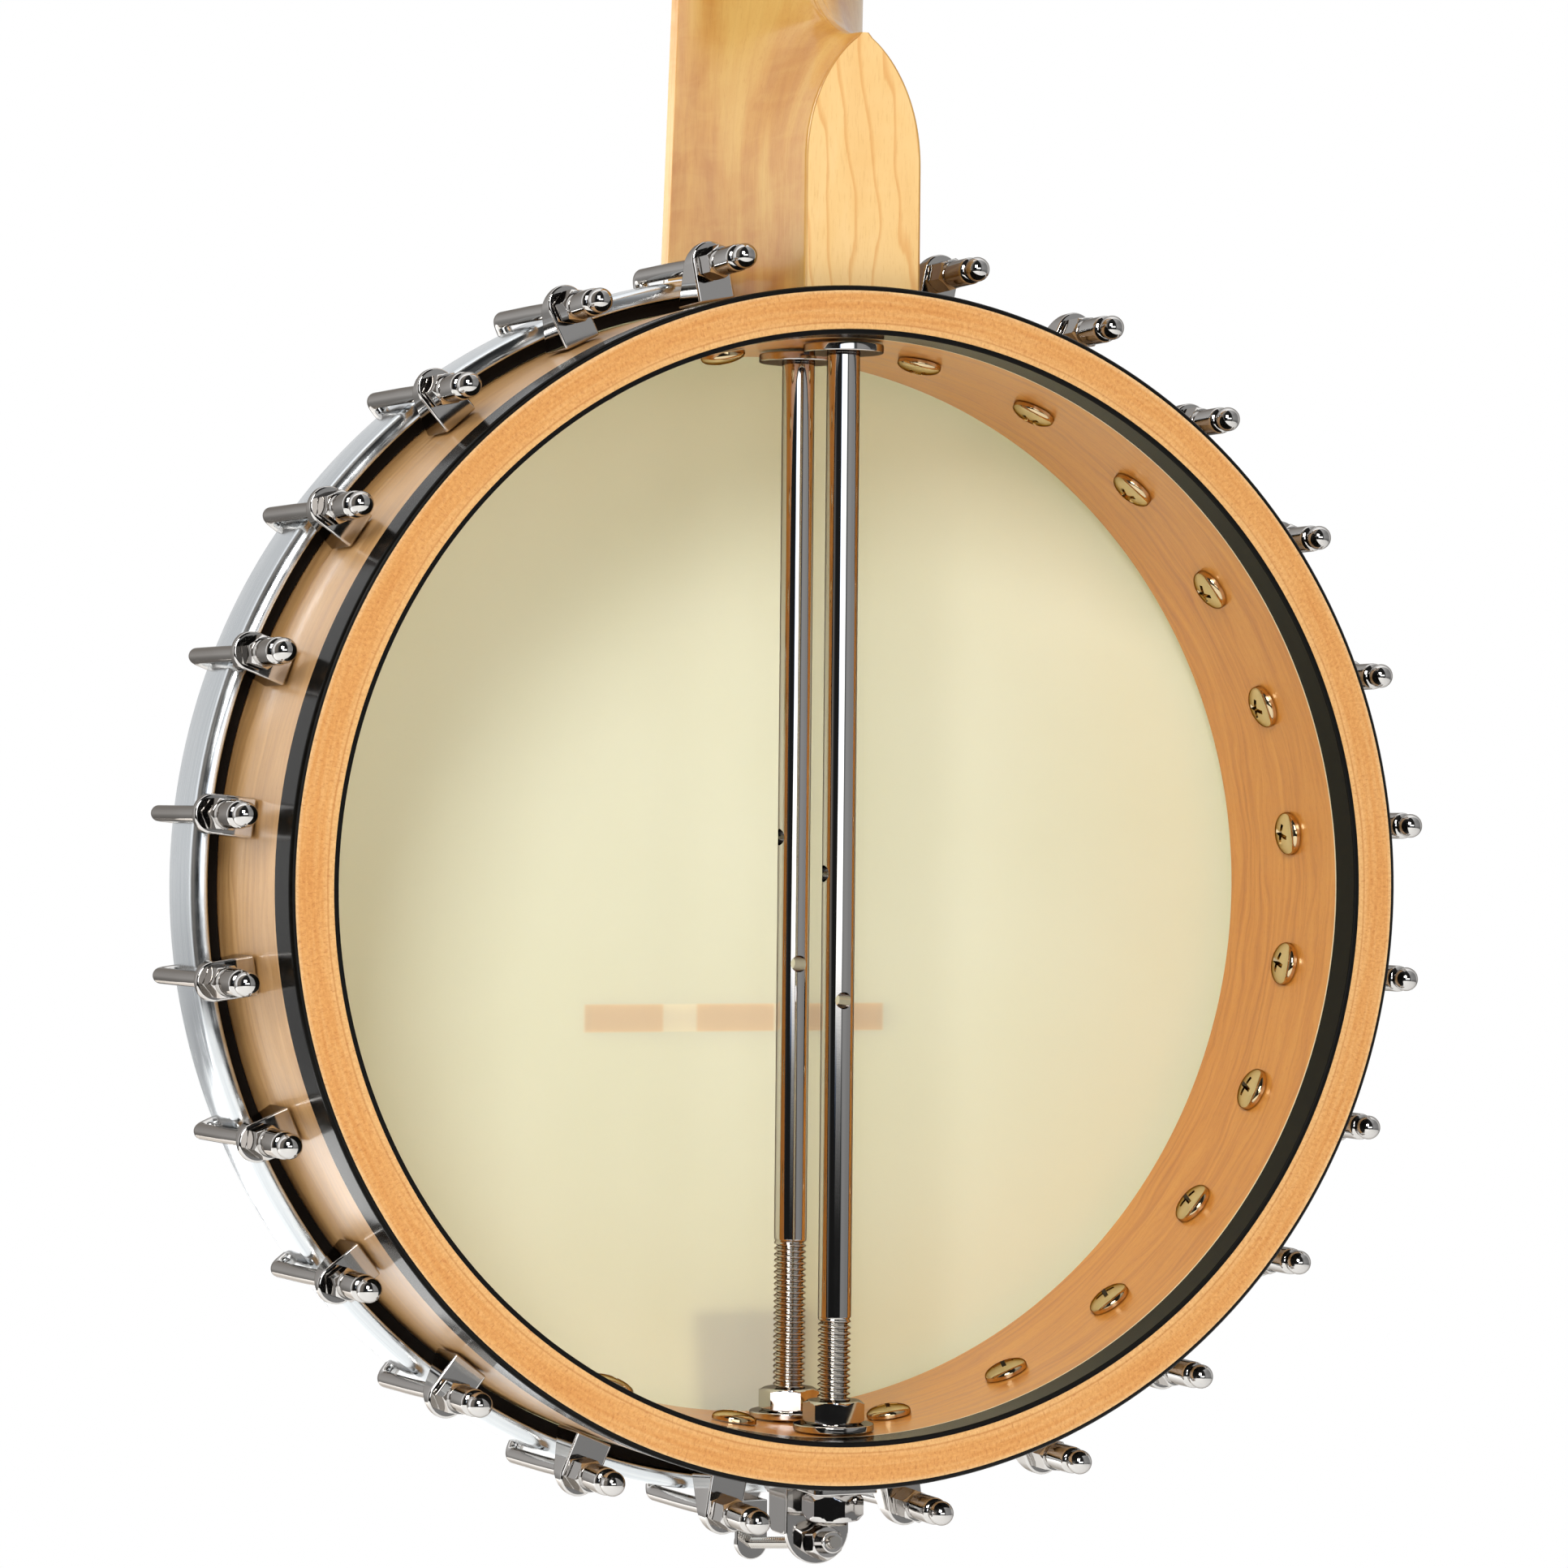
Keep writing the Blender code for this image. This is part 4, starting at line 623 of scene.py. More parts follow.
def rim_back_finish():
    """The rim's end face: bent plies with end flecks between two paler edge plies."""
    finish = Finish("rim_back_lacquer", coat_weight=0.55, coat_roughness=0.12)
    radius, length, depth = finish.round_the_pot()
    drift = finish.noise(finish.place((length, 0.02), 0.0, 0.0), detail=2.0)
    wander = finish.plus(radius, finish.times(drift, 1.4))
    share = finish.math("DIVIDE", finish.math("SUBTRACT", wander, 129.0), 11.4)
    plies = finish.ramp(share, [
        (0.00, srgb(238, 190, 126)), (0.20, srgb(242, 194, 128)), (0.235, srgb(212, 146, 80)),
        (0.26, srgb(240, 188, 122)), (0.36, srgb(234, 172, 100)), (0.62, srgb(230, 164, 90)),
        (0.80, srgb(234, 172, 100)), (0.86, srgb(244, 202, 144)), (1.00, srgb(248, 212, 160)),
    ])
    streaks = finish.noise(finish.place((length, 0.045), (radius, 0.9), 3.0), detail=6.0, rough=0.6)
    tones = [(0.3, srgb(214, 142, 70)), (0.48, srgb(234, 174, 102)), (0.72, srgb(248, 206, 142))]
    tone = finish.ramp(streaks, tones)
    plies = finish.mix(finish.ramp(share, [(0.2, 0.1), (0.27, 0.4), (0.78, 0.4), (0.88, 0.15)]), plies, tone)
    flecks = finish.noise(finish.place((length, 2.1), (radius, 0.8), 7.0), detail=3.0, rough=0.7)
    colour = finish.stained(plies, finish.between(flecks, 0.0, 0.62, 0.54, 0.74), srgb(205, 150, 110))
    knots = finish.noise(finish.place((length, 0.16), (radius, 0.75), 11.0), detail=2.0)
    colour = finish.stained(colour, finish.between(knots, 0.0, 0.55, 0.70, 0.80), srgb(196, 120, 60))
    sand = finish.noise(finish.stretched(1.1), detail=5.0, rough=0.75)
    sanded = finish.tinted(colour, srgb(236, 222, 206))
    colour = finish.mix(finish.between(sand, 0.0, 1.0, 0.36, 0.64), sanded, colour)
    return finish.finished(colour, finish.between(streaks, 0.36, 0.48), flecks, 0.12, 0.04)


def rim_wall_finish(name, light, middle, dark, gloss):
    """Side grain of the bent plies, running round the pot under gloss lacquer."""
    finish = Finish(name, coat_weight=gloss, coat_roughness=0.14)
    radius, length, depth = finish.round_the_pot()
    warp = finish.noise(finish.place((length, 0.02), (depth, 0.05), 1.0), detail=3.0)
    lifted = finish.plus(depth, finish.times(warp, 16.0))
    grain = finish.noise(finish.place((length, 0.018), (lifted, 0.42), 5.0), detail=6.0, rough=0.62)
    colour = finish.ramp(grain, [(0.28, dark), (0.5, middle), (0.74, light)])
    rays = finish.noise(finish.place((length, 0.55), (depth, 2.4), 9.0), detail=3.0)
    colour = finish.stained(colour, finish.between(rays, 0.0, 0.5, 0.56, 0.78), srgb(214, 176, 146))
    return finish.finished(colour, finish.between(grain, 0.28, 0.4), grain, 0.05, 0.05)


def maple_finish(name, colours, tilt, gloss, lines, figure, ring_rate=0.27, heart=(0.0, 66.0), wave=2.6):
    """Solid maple cut from a log: growth rings about a leaning heart, figure across them, fine pores.

    colours are light, middle, dark and growth line; lines and figure are strengths from 0 to 1.
    """
    finish = Finish(name, coat_weight=gloss, coat_roughness=0.1)
    light, middle, dark, line = colours
    x, y, z = finish.axes
    sway = finish.noise(finish.stretched(0.03, 0.03, 0.011), detail=3.0)
    lean = finish.plus(finish.times(z, tilt), finish.times(sway, 26.0))
    across = finish.plus(x, finish.math("SUBTRACT", lean, heart[0]))
    away = finish.math("SUBTRACT", y, heart[1])
    ring = finish.math("SQRT", finish.plus(finish.times(across, across), finish.times(away, away)))
    ripple = finish.noise(finish.stretched(0.35, 0.35, 0.035))
    ring = finish.plus(ring, finish.times(ripple, wave))
    phase = finish.math("FRACT", finish.times(ring, ring_rate))
    growth = finish.ramp(phase, [(0.0, 0.0), (0.80, 0.04), (0.93, 0.9), (0.96, 0.9), (1.0, 0.0)])
    cloud = finish.noise(finish.stretched(0.06, 0.075, 0.016), distortion=0.4)
    body = finish.ramp(cloud, [(0.3, dark), (0.5, middle), (0.7, light)])
    flame = finish.noise(finish.stretched(0.05, 0.05, 0.16), detail=3.0, distortion=1.2)
    body = finish.mix(finish.between(flame, 0.0, figure, 0.42, 0.66), body, light)
    body = finish.mix(finish.times(growth, lines), body, line)
    pores = finish.noise(finish.stretched(2.6, 2.6, 0.22), detail=3.0, rough=0.7)
    body = finish.stained(body, finish.between(pores, 0.0, 0.5, 0.55, 0.8), srgb(222, 192, 160))
    return finish.finished(body, finish.between(pores, 0.34, 0.46), pores, 0.08, 0.04)


def dark_wood_finish(name, dark, light, gloss):
    """Close-grained dark wood with long pores."""
    finish = Finish(name, coat_weight=gloss, coat_roughness=0.2)
    grain = finish.noise(finish.stretched(0.8, 0.8, 0.03), detail=6.0, rough=0.65, distortion=0.3)
    pores = finish.noise(finish.stretched(5.0, 5.0, 0.3), detail=2.0)
    colour = finish.between(grain, dark, light, 0.3, 0.72)
    colour = finish.mix(finish.between(pores, 0.0, 0.7, 0.58, 0.7), colour, dark)
    return finish.finished(colour, finish.between(pores, 0.38, 0.56), pores, 0.2, 0.05)


def hoop_finish():
    """Rolled nickel-plated hoop with fine marks running round it."""
    finish = Finish("hoop_satin_nickel", metallic=1.0, anisotropic=0.5)
    radius, length, depth = finish.round_the_pot()
    streaks = finish.noise(finish.place((length, 0.03), (depth, 2.2), 2.0), detail=5.0, rough=0.7)
    cloud = finish.noise(finish.place((length, 0.12), (depth, 0.15), 6.0))
    colour = finish.between(streaks, srgb(206, 212, 218), srgb(234, 238, 240))
    roughness = finish.between(finish.times(streaks, cloud), 0.12, 0.3, 0.15, 0.4)
    return finish.finished(colour, roughness, streaks, 0.08, 0.03)


def film_finish():
    """Frosted polyester film: light soaks through it, and the bridge's feet on its far side show as tan bars
    of painted shade over a band of painted light.
    """
    finish = Finish("head_frosted_film", specular_ior_level=0.35)
    x, y, z = finish.axes
    cloud = finish.noise(finish.stretched(0.012), detail=3.0)
    speck = finish.noise(finish.stretched(1.4), detail=3.0, rough=0.7)
    colour = finish.between(cloud, srgb(232, 236, 219), srgb(236, 240, 227))
    level = finish.between(finish.times(finish.apart(z, BRIDGE_Z / MM), 0.1), 1.0, 0.0, 0.31, 0.36)
    # painted light: the band under the bridge is made paler to offset the shade the bridge casts through the
    # film
    under = finish.between(finish.times(finish.apart(x, BRIDGE_X / MM), 0.01), 1.0, 0.0, 0.37, 0.4)
    colour = finish.mix(finish.times(under, level), colour, srgb(255, 249, 224))
    # painted shade: tan bars where the bridge's three feet press on the film's far side
    spacing = (BRIDGE_HALF_LENGTH - BRIDGE_FOOT_LENGTH / 2) / MM
    for foot in (-1, 0, 1):
        along = finish.apart(x, BRIDGE_X / MM + foot * spacing)
        foot_painted_shade = finish.times(finish.between(finish.times(along, 0.05), 1.0, 0.0, 0.49, 0.53), level)
        colour = finish.mix(finish.times(foot_painted_shade, 0.4), colour, srgb(255, 200, 136))
    finish.finished(colour, finish.between(speck, 0.5, 0.62), speck, 0.06, 0.02)
    glow = finish.add("BsdfTranslucent", {"Color": srgb(238, 231, 196)})
    clear = finish.add("BsdfTransparent", {"Color": srgb(240, 236, 214)})
    soft = finish.add("MixShader", {0: FILM_TRANSLUCENCY, 1: finish.shader.outputs[0], 2: glow})
    seen = finish.add("MixShader", {0: FILM_CLARITY, 1: soft, 2: clear})
    finish.join(finish.tree.nodes["Material Output"].inputs["Surface"], seen)
    return finish.made


def plain_finish(name, low, high, roughness, bump=0.1, **settings):
    """Moulded, bone or painted surface with a slight drift of colour and polish."""
    finish = Finish(name, **settings)
    cloud = finish.noise(finish.stretched(0.6))
    fine = finish.noise(finish.stretched(3.0), detail=3.0)
    gloss = finish.between(fine, roughness, roughness + 0.1)
    return finish.finished(finish.between(cloud, low, high), gloss, fine, bump, 0.02)


def pearl_finish():
    """Pearly celluloid: soft folded clouds under a clear gloss."""
    finish = Finish("button_pearl", coat_weight=0.8, coat_roughness=0.06)
    inputs = {"Vector": finish.stretched(0.28), "Scale": 1.0}
    cells = finish.add("TexVoronoi", inputs, output="Distance", feature="SMOOTH_F1")
    folds = finish.noise(finish.stretched(0.35), distortion=2.0)
    both = finish.plus(finish.times(cells, 0.5), finish.times(folds, 0.6))
    clouds = [(0.3, srgb(196, 192, 180)), (0.5, srgb(232, 228, 214)), (0.75, srgb(250, 247, 238))]
    return finish.finished(finish.ramp(both, clouds), finish.between(folds, 0.16, 0.3), folds, 0.05, 0.05)


def wound_string_finish():
    """Bronze-coloured winding round a steel core."""
    finish = Finish("string_winding", metallic=1.0)
    inputs = {"Vector": finish.stretched(0.0, 0.0, 1.0), "Scale": 1.6, "Distortion": 0.0}
    turns = finish.add("TexWave", inputs, output=1, bands_direction="Z")
    colour = finish.between(turns, srgb(120, 100, 78), srgb(206, 190, 160), 0.2, 0.8)
    return finish.finished(colour, finish.between(turns, 0.45, 0.28, 0.2, 0.8), turns, 0.6, 0.05)


# painted reflections in the edge tints: CHROME's grey-brown edge darkens glancing reflections as if mirroring
# dark surroundings, and the brown edges of WARM, BRIGHT and THREAD paint in the orange rim wood mirrored at
# glancing angles
CHROME = polished("hardware_nickel", srgb(214, 212, 210), 0.035, edge=srgb(150, 144, 138))
WARM = polished("screw_warm_nickel", srgb(218, 196, 156), 0.05, edge=srgb(110, 66, 26))
BRIGHT = polished("rod_polished_nickel", srgb(214, 212, 210), 0.03, smudge=0.03, edge=srgb(72, 34, 10))
THREAD = polished("rod_thread_steel", srgb(206, 202, 196), 0.07, edge=srgb(96, 60, 30))
RING = polished("ring_nickel", srgb(220, 216, 204), 0.1)
STEEL = polished("plain_steel", srgb(206, 206, 204), 0.2)
FRET = polished("fret_nickel_silver", srgb(208, 205, 196), 0.14)
HOOP = hoop_finish()
# painted shade: the flesh hoop is near-black to stand for the unlit gap it sits in
FLESH_HOOP_SHADE = polished("flesh_hoop_alloy_painted_shade", srgb(34, 31, 29), 0.5)
FILM = film_finish()
RIM_BACK = rim_back_finish()
RIM_OUTER = rim_wall_finish(
    "rim_outer_lacquer", srgb(208, 167, 114), srgb(192, 148, 94), srgb(170, 125, 74), 0.25)
RIM_INNER = rim_wall_finish(
    "rim_inner_lacquer", srgb(226, 158, 76), srgb(214, 141, 59), srgb(190, 114, 41), 0.3)
BINDING = plain_finish(
    "binding_black", srgb(10, 9, 8), srgb(18, 17, 14), 0.1, bump=0.03, specular_ior_level=0.06)
EDGE_LINE = plain_finish("edge_black_line", srgb(6, 6, 6), srgb(12, 11, 10), 0.5, specular_ior_level=0.15)
PURFLING = plain_finish("binding_line", srgb(226, 212, 178), srgb(240, 228, 200), 0.3)
NECK = maple_finish(
    "neck_maple_satin", (srgb(213, 170, 92), srgb(198, 143, 66), srgb(176, 112, 43), srgb(162, 102, 38)),
    tilt=0.05, gloss=0.6, lines=0.08, figure=0.25)
HEEL_CAP = maple_finish(
    "heel_cap_maple", (srgb(252, 214, 152), srgb(248, 206, 138), srgb(242, 194, 124), srgb(226, 152, 72)),
    tilt=-0.15, gloss=0.4, lines=0.55, figure=0.15, ring_rate=0.17, heart=(-60.0, -7.0), wave=1.6)
BOARD = maple_finish(
    "fingerboard_maple", (srgb(244, 206, 146), srgb(232, 184, 116), srgb(216, 160, 90), srgb(194, 132, 66)),
    tilt=0.02, gloss=0.5, lines=0.3, figure=0.3)
OVERLAY = dark_wood_finish("overlay_wood", srgb(20, 15, 13), srgb(40, 30, 24), 0.9)
BONE = plain_finish("nut_bone", srgb(232, 224, 200), srgb(245, 240, 222), 0.25)
BRIDGE_WOOD = maple_finish(
    "bridge_maple", (srgb(236, 204, 156), srgb(222, 184, 128), srgb(206, 162, 104), srgb(190, 140, 84)),
    tilt=0.3, gloss=0.0, lines=0.4, figure=0.1)
PEARL = pearl_finish()
DOT = plain_finish("dot_black", srgb(22, 20, 19), srgb(36, 33, 31), 0.3)
WOUND = wound_string_finish()


# ---------------------------------------------------------------- joining parts into one mesh

def part(mesh, sharp=35.0, finish=0):
    """A mesh ready to be merged: smooth but for edges sharper than an angle, all in one material."""
    mesh.shade_smooth()
    mesh.set_sharp_from_angle(angle=radians(sharp))
    for face in mesh.polygons:
        face.material_index = finish
    return mesh


def hexagon(name, radius, low, high, chamfer=0.09, across=72):
    """A hexagonal nut along local Z with both ends chamfered."""
    flat = radius * cos(pi / 6)
    rings = []
    steps = [0.0, 0.25, 0.5, 0.75, 1.0]
    depth = chamfer * 2 * radius
    heights = [(low + t * depth, t) for t in steps] + [(high - t * depth, t) for t in reversed(steps)]
    for z, t in heights:
        limit = flat * 0.97 + (radius - flat * 0.97) * t
        ring = []
        for k in range(across):
            a = 2 * pi * k / across
            side = (a + pi / 6) % (pi / 3) - pi / 6
            r = min(limit, flat / cos(side))
            ring.append((r * cos(a), r * sin(a), z))
        rings.append(ring)
    return skin(name, rings, caps=True)


def bar(name, radius, low, high, steps=48, edge=0.2 * MM):
    """A short round solid along local Z with rounded rims."""
    return turned(name, rounded(rectangle(0.0, radius, low, high), edge), steps)


def washer(name, bore, radius, low, high):
    return turned(name, rounded(rectangle(bore, radius, low, high), 0.35 * MM), 64)


def threaded(name, radius, low, high, sides=32, steps=8):
    """A rod with a rolled thread that runs out at its top."""
    rows = int((high - low) / THREAD_PITCH * steps)
    rings = []
    for i in range(rows + 1):
        z = low + (high - low) * i / rows
        fade = min(1.0, (high - z) / THREAD_PITCH)
        ring = []
        for k in range(sides):
            turn = (z / THREAD_PITCH + k / sides) * 2 * pi
            r = radius - THREAD_DEPTH * fade * (0.5 - 0.5 * cos(turn))
            ring.append((r * cos(2 * pi * k / sides), r * sin(2 * pi * k / sides), z))
        rings.append(ring)
    return skin(name, rings, caps=True)


# ---------------------------------------------------------------- pot

def from_axis(point):
    return sqrt(point.x ** 2 + point.z ** 2)


def make_rim():
    outer, inner = RIM_OUTER_RADIUS, RIM_INNER_RADIUS
    edge, round_over, line_depth = 0.4 * MM, 1.3 * MM, 0.5 * MM
    line, band = OUTER_BINDING
    inner_line, inner_band = INNER_BINDING
    quarter = [radians(15 * k) for k in range(7)]
    profile = [(inner + inner_line, 0.0), (outer - line, 0.0)]
    profile += [(outer - round_over + round_over * sin(a), -round_over + round_over * cos(a))
                for a in quarter]
    profile += [(outer, -band), (outer, RIM_FRONT_Y), (inner, RIM_FRONT_Y)]
    profile += [(inner, -inner_band - line_depth), (inner, -inner_band)]
    profile += [(inner + edge - edge * sin(a), -edge + edge * cos(a)) for a in reversed(quarter)]

    def pick(centre, normal):
        radius = from_axis(centre)
        if centre.y > -edge / 2 and radius < outer - line + 0.6 * MM:
            return 0 if inner + inner_line - edge / 4 < radius < outer - line + edge / 4 else 5
        if radius > (inner + outer) / 2:
            return 3 if centre.y > -band else 1
        if centre.y > -inner_band:
            return 3
        return 4 if centre.y > -inner_band - line_depth else 2
    finishes = [RIM_BACK, RIM_OUTER, RIM_INNER, BINDING, PURFLING, EDGE_LINE]
    stand_in("rim", turned("rim", profile, along="Y"), finishes, "rim_maple", pick=pick)


def make_tone_ring():
    y, angles = RIM_FRONT_Y - GLUE_GAP - TONE_RING_WIRE, [2 * pi * i / 24 for i in range(24)]
    wire = [(TONE_RING_RADIUS + TONE_RING_WIRE * cos(a), y + TONE_RING_WIRE * sin(a)) for a in angles]
    stand_in("tone_ring", turned("tone_ring", wire, along="Y"), [RING], "ring_plate")


def make_head():
    back, radius = HEAD_FRONT_Y + HEAD_FILM, HEAD_SKIRT_RADIUS - HEAD_BEND - HEAD_FILM / 2
    inner_rings = [k * radius / 8 for k in range(9)]
    film = [(r, back) for r in inner_rings] + [(r, HEAD_FRONT_Y) for r in reversed(inner_rings)]
    stand_in("head", turned("head", film, along="Y"), [FILM], "head_film")


def make_flesh_hoop():
    """The alloy flesh hoop, coloured near-black as painted shade for the dark gap it sits in, with the film's
    turned-down skirt lining it.
    """
    back, front = FLESH_HOOP_Y
    skirt, bend_y = HEAD_SKIRT_RADIUS, HEAD_FRONT_Y + HEAD_BEND
    profile = [(FLESH_HOOP_RADIUS, back), (FLESH_HOOP_RADIUS, front), (skirt, front)]
    profile += [(skirt - HEAD_BEND * (1 - cos(a)), HEAD_FRONT_Y + HEAD_BEND * (1 - sin(a)))
                for a in (0.0, 0.5, 1.0, 1.4)]
    profile += [(skirt - HEAD_FILM, bend_y), (skirt - HEAD_FILM, back)]

    def pick(centre, normal):
        return 1 if from_axis(centre) > skirt + 0.1 * MM else 0
    hoop = turned("flesh_hoop", profile, along="Y")
    stand_in("flesh_hoop", hoop, [FILM, FLESH_HOOP_SHADE], "hoop_alloy", pick=pick)


def make_tension_hoop():
    """A hoop with a round back edge, a slightly bowed wall and a ledge over the flesh hoop."""
    wall, crown = HOOP_OUTER_RADIUS - HOOP_BOW, HOOP_CROWN
    section = [(wall - crown * (1 - cos(radians(a))), HOOP_BACK_Y - crown * (1 - sin(radians(a))))
               for a in range(81, 0, -9)]
    for k in range(11):
        y = blend(HOOP_BACK_Y - crown, HOOP_FRONT_Y, k / 10)
        section.append((wall + HOOP_BOW * (1.0 - (k / 5 - 1) ** 2), y))
    section += [(HOOP_LEDGE_RADIUS, HOOP_FRONT_Y), (HOOP_LEDGE_RADIUS, HOOP_LEDGE_Y),
                (HOOP_INNER_RADIUS, HOOP_LEDGE_Y), (HOOP_INNER_RADIUS, HOOP_BACK_Y)]
    hoop = turned("tension_hoop", rounded(section, 0.8 * MM, steps=4), along="Y")
    stand_in("tension_hoop", hoop, [HOOP], "hoop_nickel")


def make_shoe():
    """Arched block with an upright back face and a front that slopes out to a long foot."""
    outline = arc((0.0, SHOE_ARCH_CENTRE), SHOE_ARCH_RADIUS, 0, 180, 28)
    outline += [(-SHOE_ARCH_RADIUS, SHOE_BASE_RADIUS), (SHOE_ARCH_RADIUS, SHOE_BASE_RADIUS)]
    top = SHOE_ARCH_CENTRE + SHOE_ARCH_RADIUS
    rings = []
    for share in (0.0, 1.0):
        ring = []
        for x, z in outline:
            rise = (z - SHOE_BASE_RADIUS) / (top - SHOE_BASE_RADIUS)
            front = blend(SHOE_FRONT_Y_AT_BASE, SHOE_FRONT_Y_AT_TOP, rise)
            ring.append((x, blend(front, SHOE_BACK_Y, share), z))
        rings.append(ring)
    return bevelled(skin("shoe", rings, caps=True), 0.55 * MM)


def make_bolt():
    """The screw seen inside the pot: a dome with a cross recess."""
    seat, top, radius = BOLT_HEAD_SEAT, BOLT_HEAD_TOP, BOLT_HEAD_RADIUS
    crown = seat - BOLT_HEAD_RIM - top
    dome = [(radius * sin(radians(a)), top + crown * (1 - cos(radians(a)))) for a in range(0, 91, 9)]
    head = turned("bolt", dome + [(radius, seat), (0.0, seat)], 64)
    for turn in (0.0, pi / 2):
        rings = []
        for z, share in ((top - 0.3 * MM, 1.1), (top + RECESS_DEPTH, 0.45)):
            a, b = RECESS_HALF_LENGTH * share, RECESS_HALF_WIDTH * (0.7 + 0.3 * share)
            rings.append([(x, y, z) for x, y in rectangle(-a, a, -b, b)])
        blade = skin("blade", rings, caps=True)
        head = cut(head, moved(blade, Matrix.Rotation(turn + RECESS_TURN, 4, "Z")))
    return moved(head, shift(y=BOLT_Y))


def make_brackets():
    """Shoe, hook, nut and bolt in one mesh that every bracket shares."""
    nut_start, nut_end = NUT_HEX_Y
    lean = blend(HOOK_AXIS_AT_NUT, HOOK_AXIS_AT_HOOP, 0.2)
    flats = moved(hexagon("nut", NUT_HEX_RADIUS, nut_start, nut_end), shift(z=lean) @ ALONG_Y)
    ball = NUT_BALL_RADIUS
    outline = [(ball * sin(radians(a)), NUT_BALL_Y + ball * cos(radians(a))) for a in range(0, 132, 9)]
    outline += mm(NUT_BARREL_PROFILE) + [(NUT_GROOVE_RADIUS, NUT_GROOVE_Y)]
    outline += [(NUT_GROOVE_RADIUS, nut_end - 0.2 * MM), (0.0, nut_end - 0.2 * MM)]
    barrel = moved(turned("collar", outline, 48), shift(z=HOOK_AXIS_AT_NUT) @ ALONG_Y)
    path = [(0.0, nut_start + 2 * MM, lean), (0.0, HOOP_BACK_Y, HOOK_AXIS_AT_HOOP),
            (0.0, HOOK_LEG_Y, HOOK_AXIS_AT_BEND), (0.0, HOOK_LEG_Y, HOOK_LEG_END_RADIUS + 0.9 * MM)]
    hook = swept("hook", filleted(path, HOOK_BEND), HOOK_RADIUS, sides=24)
    parts = [part(make_shoe(), 40), part(flats, 25), part(barrel, 40), part(hook, 60)]
    mesh = merged("bracket", parts + [part(make_bolt(), 30, 1)])
    angles = [BRACKET_FIRST + BRACKET_STEP * k for k in range(BRACKETS_A_SIDE)]
    for number, angle in enumerate(angles + [-a for a in angles], start=1):
        place = POT @ Matrix.Rotation(angle, 4, "Y")
        stand_in(f"bracket_{number:02d}", mesh, [CHROME, WARM], "bracket_chrome", place, sharp=None)


# ---------------------------------------------------------------- rods and tail

def make_rods():
    for name, y in ROD_Y.items():
        thread_top = ROD_THREAD_TOP_Z[name]
        shaft = bar("shaft", ROD_RADIUS, thread_top - 0.2 * MM, ROD_TOP_Z, edge=0.1 * MM)
        for z, axis in zip(ROD_CROSS_HOLES_Z[name], "YX"):
            drill = bar("drill", CROSS_HOLE_RADIUS, -5 * MM, 5 * MM, 28)
            shaft = cut(shaft, moved(drill, shift(z=z) @ quarter_turn(axis)))
        thread = threaded("thread", ROD_RADIUS, ROD_END_Z[name], thread_top)
        end_nut = hexagon("end_nut", ROD_END_NUT_RADIUS[name], *ROD_END_NUT_Z[name])
        disc = washer("washer", ROD_RADIUS, ROD_WASHER_RADIUS, *ROD_WASHER_Z)
        rod = merged(name, [part(shaft, 40), part(thread, 75, 1), part(end_nut, 25), part(disc, 40)])
        place = POT @ shift(y=y)
        stand_in(f"coordinator_rod_{name}", rod, [BRIGHT, THREAD], "rod_steel", place,
                 name=f"rod_{name}_look", sharp=None)
        nut = hexagon("nut", ROD_NUT_RADIUS, *ROD_NUT_Z, chamfer=0.05)
        disc = washer("washer", ROD_RADIUS, ROD_WASHER_RADIUS, *ROD_NUT_WASHER_Z)
        nut = merged(name, [part(nut, 25), part(disc, 40)])
        stand_in(f"rod_nut_{name}", nut, [CHROME], "rod_steel", place, sharp=None)


def screw_point(y):
    return Vector((0.0, y, SCREW_AXIS_Z + (y - HANGER_WALL_Y) * tan(SCREW_TILT)))


def on_screw(y):
    """A frame on the tail screw's axis whose Z runs back along it."""
    return Matrix.Translation(screw_point(y)) @ Matrix.Rotation(-pi / 2 + SCREW_TILT, 4, "X")


def make_hanger():
    """A round-footed wall, a flange that goes under the rod's nut, and a cheek on each side."""
    half, sheet = HANGER_HALF_WIDTH, HANGER_SHEET
    wall = [(half, HANGER_TOP_Z - 0.3 * MM), (-half, HANGER_TOP_Z - 0.3 * MM)]
    wall += arc((0.0, HANGER_ARC_Z), half, 180, 360, 28)
    wall = prism("wall", wall, HANGER_WALL_Y - sheet / 2, HANGER_WALL_Y + sheet / 2)
    flange = rounded(rectangle(-half, half, HANGER_WALL_Y, HANGER_TOP_Y), 2 * MM)
    flange = prism("top", flange, HANGER_TOP_Z - sheet, HANGER_TOP_Z, "Z")
    cheek = rectangle(HANGER_WALL_Y, HANGER_CHEEK_Y, HANGER_TOP_Z, HANGER_CHEEK_BOTTOM_Z)
    cheek, outer = rounded(cheek, 3 * MM, 6), half - 0.1 * MM
    cheeks = [prism("cheek", cheek, *faces, "X")
              for faces in ((outer - sheet, outer), (-outer, sheet - outer))]
    hanger = merged("hanger", [part(bevelled(mesh, 0.3 * MM), 30) for mesh in (wall, flange, *cheeks)])
    stand_in("tailpiece_hanger", hanger, [CHROME], "tail_plate", name="tail_hanger_look", sharp=None)


